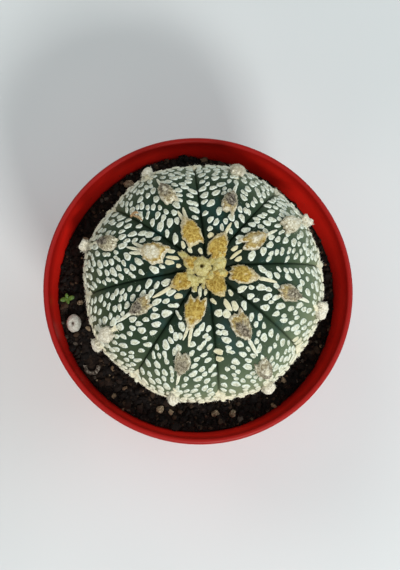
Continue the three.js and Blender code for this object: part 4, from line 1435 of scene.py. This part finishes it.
def makeCurl():
    shape = bmesh.new()
    middle, half = (curl["outer"] + curl["inner"]) / 2, (curl["outer"] - curl["inner"]) / 2
    corners = [(middle - half, 0.0), (middle + half, 0.0), (middle + half, 1.0), (middle - half, 1.0)]
    loop = [shape.verts.new((x, 0, z * curl["height"])) for x, z in corners]
    face = shape.faces.new(loop)
    bmesh.ops.rotate(
        shape, cent=(0, 0, 0), matrix=Matrix.Rotation(radians(curl["from"]), 3, "Z"), verts=shape.verts)
    bmesh.ops.spin(
        shape, geom=[face], cent=(0, 0, 0), axis=(0, 0, 1), dvec=(0, 0, 0),
        angle=radians(curl["to"] - curl["from"]), steps=curl["steps"], use_merge=False)
    bmesh.ops.subdivide_edges(shape, edges=shape.edges, cuts=1, use_grid_fill=True)
    closeUp(shape)
    for corner in shape.verts:
        corner.co *= 1 + curl["uneven"] * lumps(corner.co, 0.9)
        corner.co.z += curl["wavy"] * lumps(corner.co, 1.3, 2)
    z = soilHeight(curl["x"], curl["y"]) - curl["sunk"]
    bmesh.ops.translate(shape, vec=(curl["x"], curl["y"], z), verts=shape.verts)
    finishPiece(shape, "barkCurl", dryBark(), ["bark_curl"])


sprout = {
    "x": -33.4, "y": -2.2, "stem": 0.45, "height": 1.7, "root": 1.6, "leaves": 4,
    "leafSize": (1.1, 0.62, 0.3), "leafOut": 0.85, "leafRise": 0.35, "smaller": 0.75,  # every other leaf
}


def makeSprout():
    x, y, root = sprout["x"], sprout["y"], sprout["root"]
    ground = soilHeight(x, y)
    top = ground + sprout["height"]
    shape = bmesh.new()
    bmesh.ops.create_cone(
        shape, cap_ends=True, segments=12, radius1=sprout["stem"], radius2=sprout["stem"] * 0.6,
        depth=top - ground + root, matrix=Matrix.Translation((x, y, (top + ground - root) / 2)))
    long, wide, thick = sprout["leafSize"]
    for leaf in range(sprout["leaves"]):
        turn = fullTurn * (leaf + 0.15) / sprout["leaves"]
        size = sprout["smaller"] if leaf % 2 else 1
        place = (
            Matrix.Translation((x, y, top - 0.1)) @ Matrix.Rotation(turn, 4, "Z")
            @ Matrix.Translation((sprout["leafOut"] * size, 0, 0))
            @ Matrix.Rotation(-sprout["leafRise"], 4, "Y")
            @ Matrix.Diagonal((long * size, wide * size, thick, 1)))
        bmesh.ops.create_uvsphere(shape, u_segments=20, v_segments=12, radius=1, matrix=place)
    finishPiece(shape, "sproutLeaves", freshLeaf(), ["seedling"])


pebbles = [  # x, y and half sizes
    (-17.9, 28.2, (1.6, 1, 0.9)), (-9.5, -30.2, (1, 1.2, 0.9)), (4.5, -31.1, (1.1, 0.9, 0.8)),
    (8.9, -31.2, (0.9, 1.1, 0.9)), (-30.2, -3, (0.9, 0.7, 0.7)),
]


def makePebbles():
    shape = bmesh.new()
    for number, (x, y, size) in enumerate(pebbles):
        place = Matrix.Translation((x, y, soilHeight(x, y) + size[2] * 0.25)) @ Matrix.Diagonal((*size, 1))
        made = bmesh.ops.create_icosphere(shape, subdivisions=3, radius=1, matrix=place)
        middle = Vector((x, y, soilHeight(x, y)))
        for corner in made["verts"]:
            away = corner.co - middle
            corner.co = middle + away * (1 + 0.4 * lumps(away, 0.9, number) - 0.08)
    nodes = [f"pebble_{number + 1}" for number in range(len(pebbles))]
    finishPiece(shape, "tanPebbles", tanGrit(), nodes)


# Floor

floorSize = 8  # metres


def makeFloor():
    shape = bmesh.new()
    bmesh.ops.create_grid(shape, x_segments=2, y_segments=2, size=floorSize / 2)
    mesh = asMesh(shape, ())
    mesh.materials.append(tableTop())
    addObject("tableTop", mesh)
    print("tableTop is laid under the pot")


makers = [
    makeFloor, makePot, makeSoilBed, makeGrains, makeSkin, makeAreoles, makeFlecks, makeStrips, makeCrown,
    makeCrownFlecks, makeTufts, makeHairs, makeScrap, makeBead, makeCurl, makeSprout, makePebbles,
]
for make in makers:
    make()
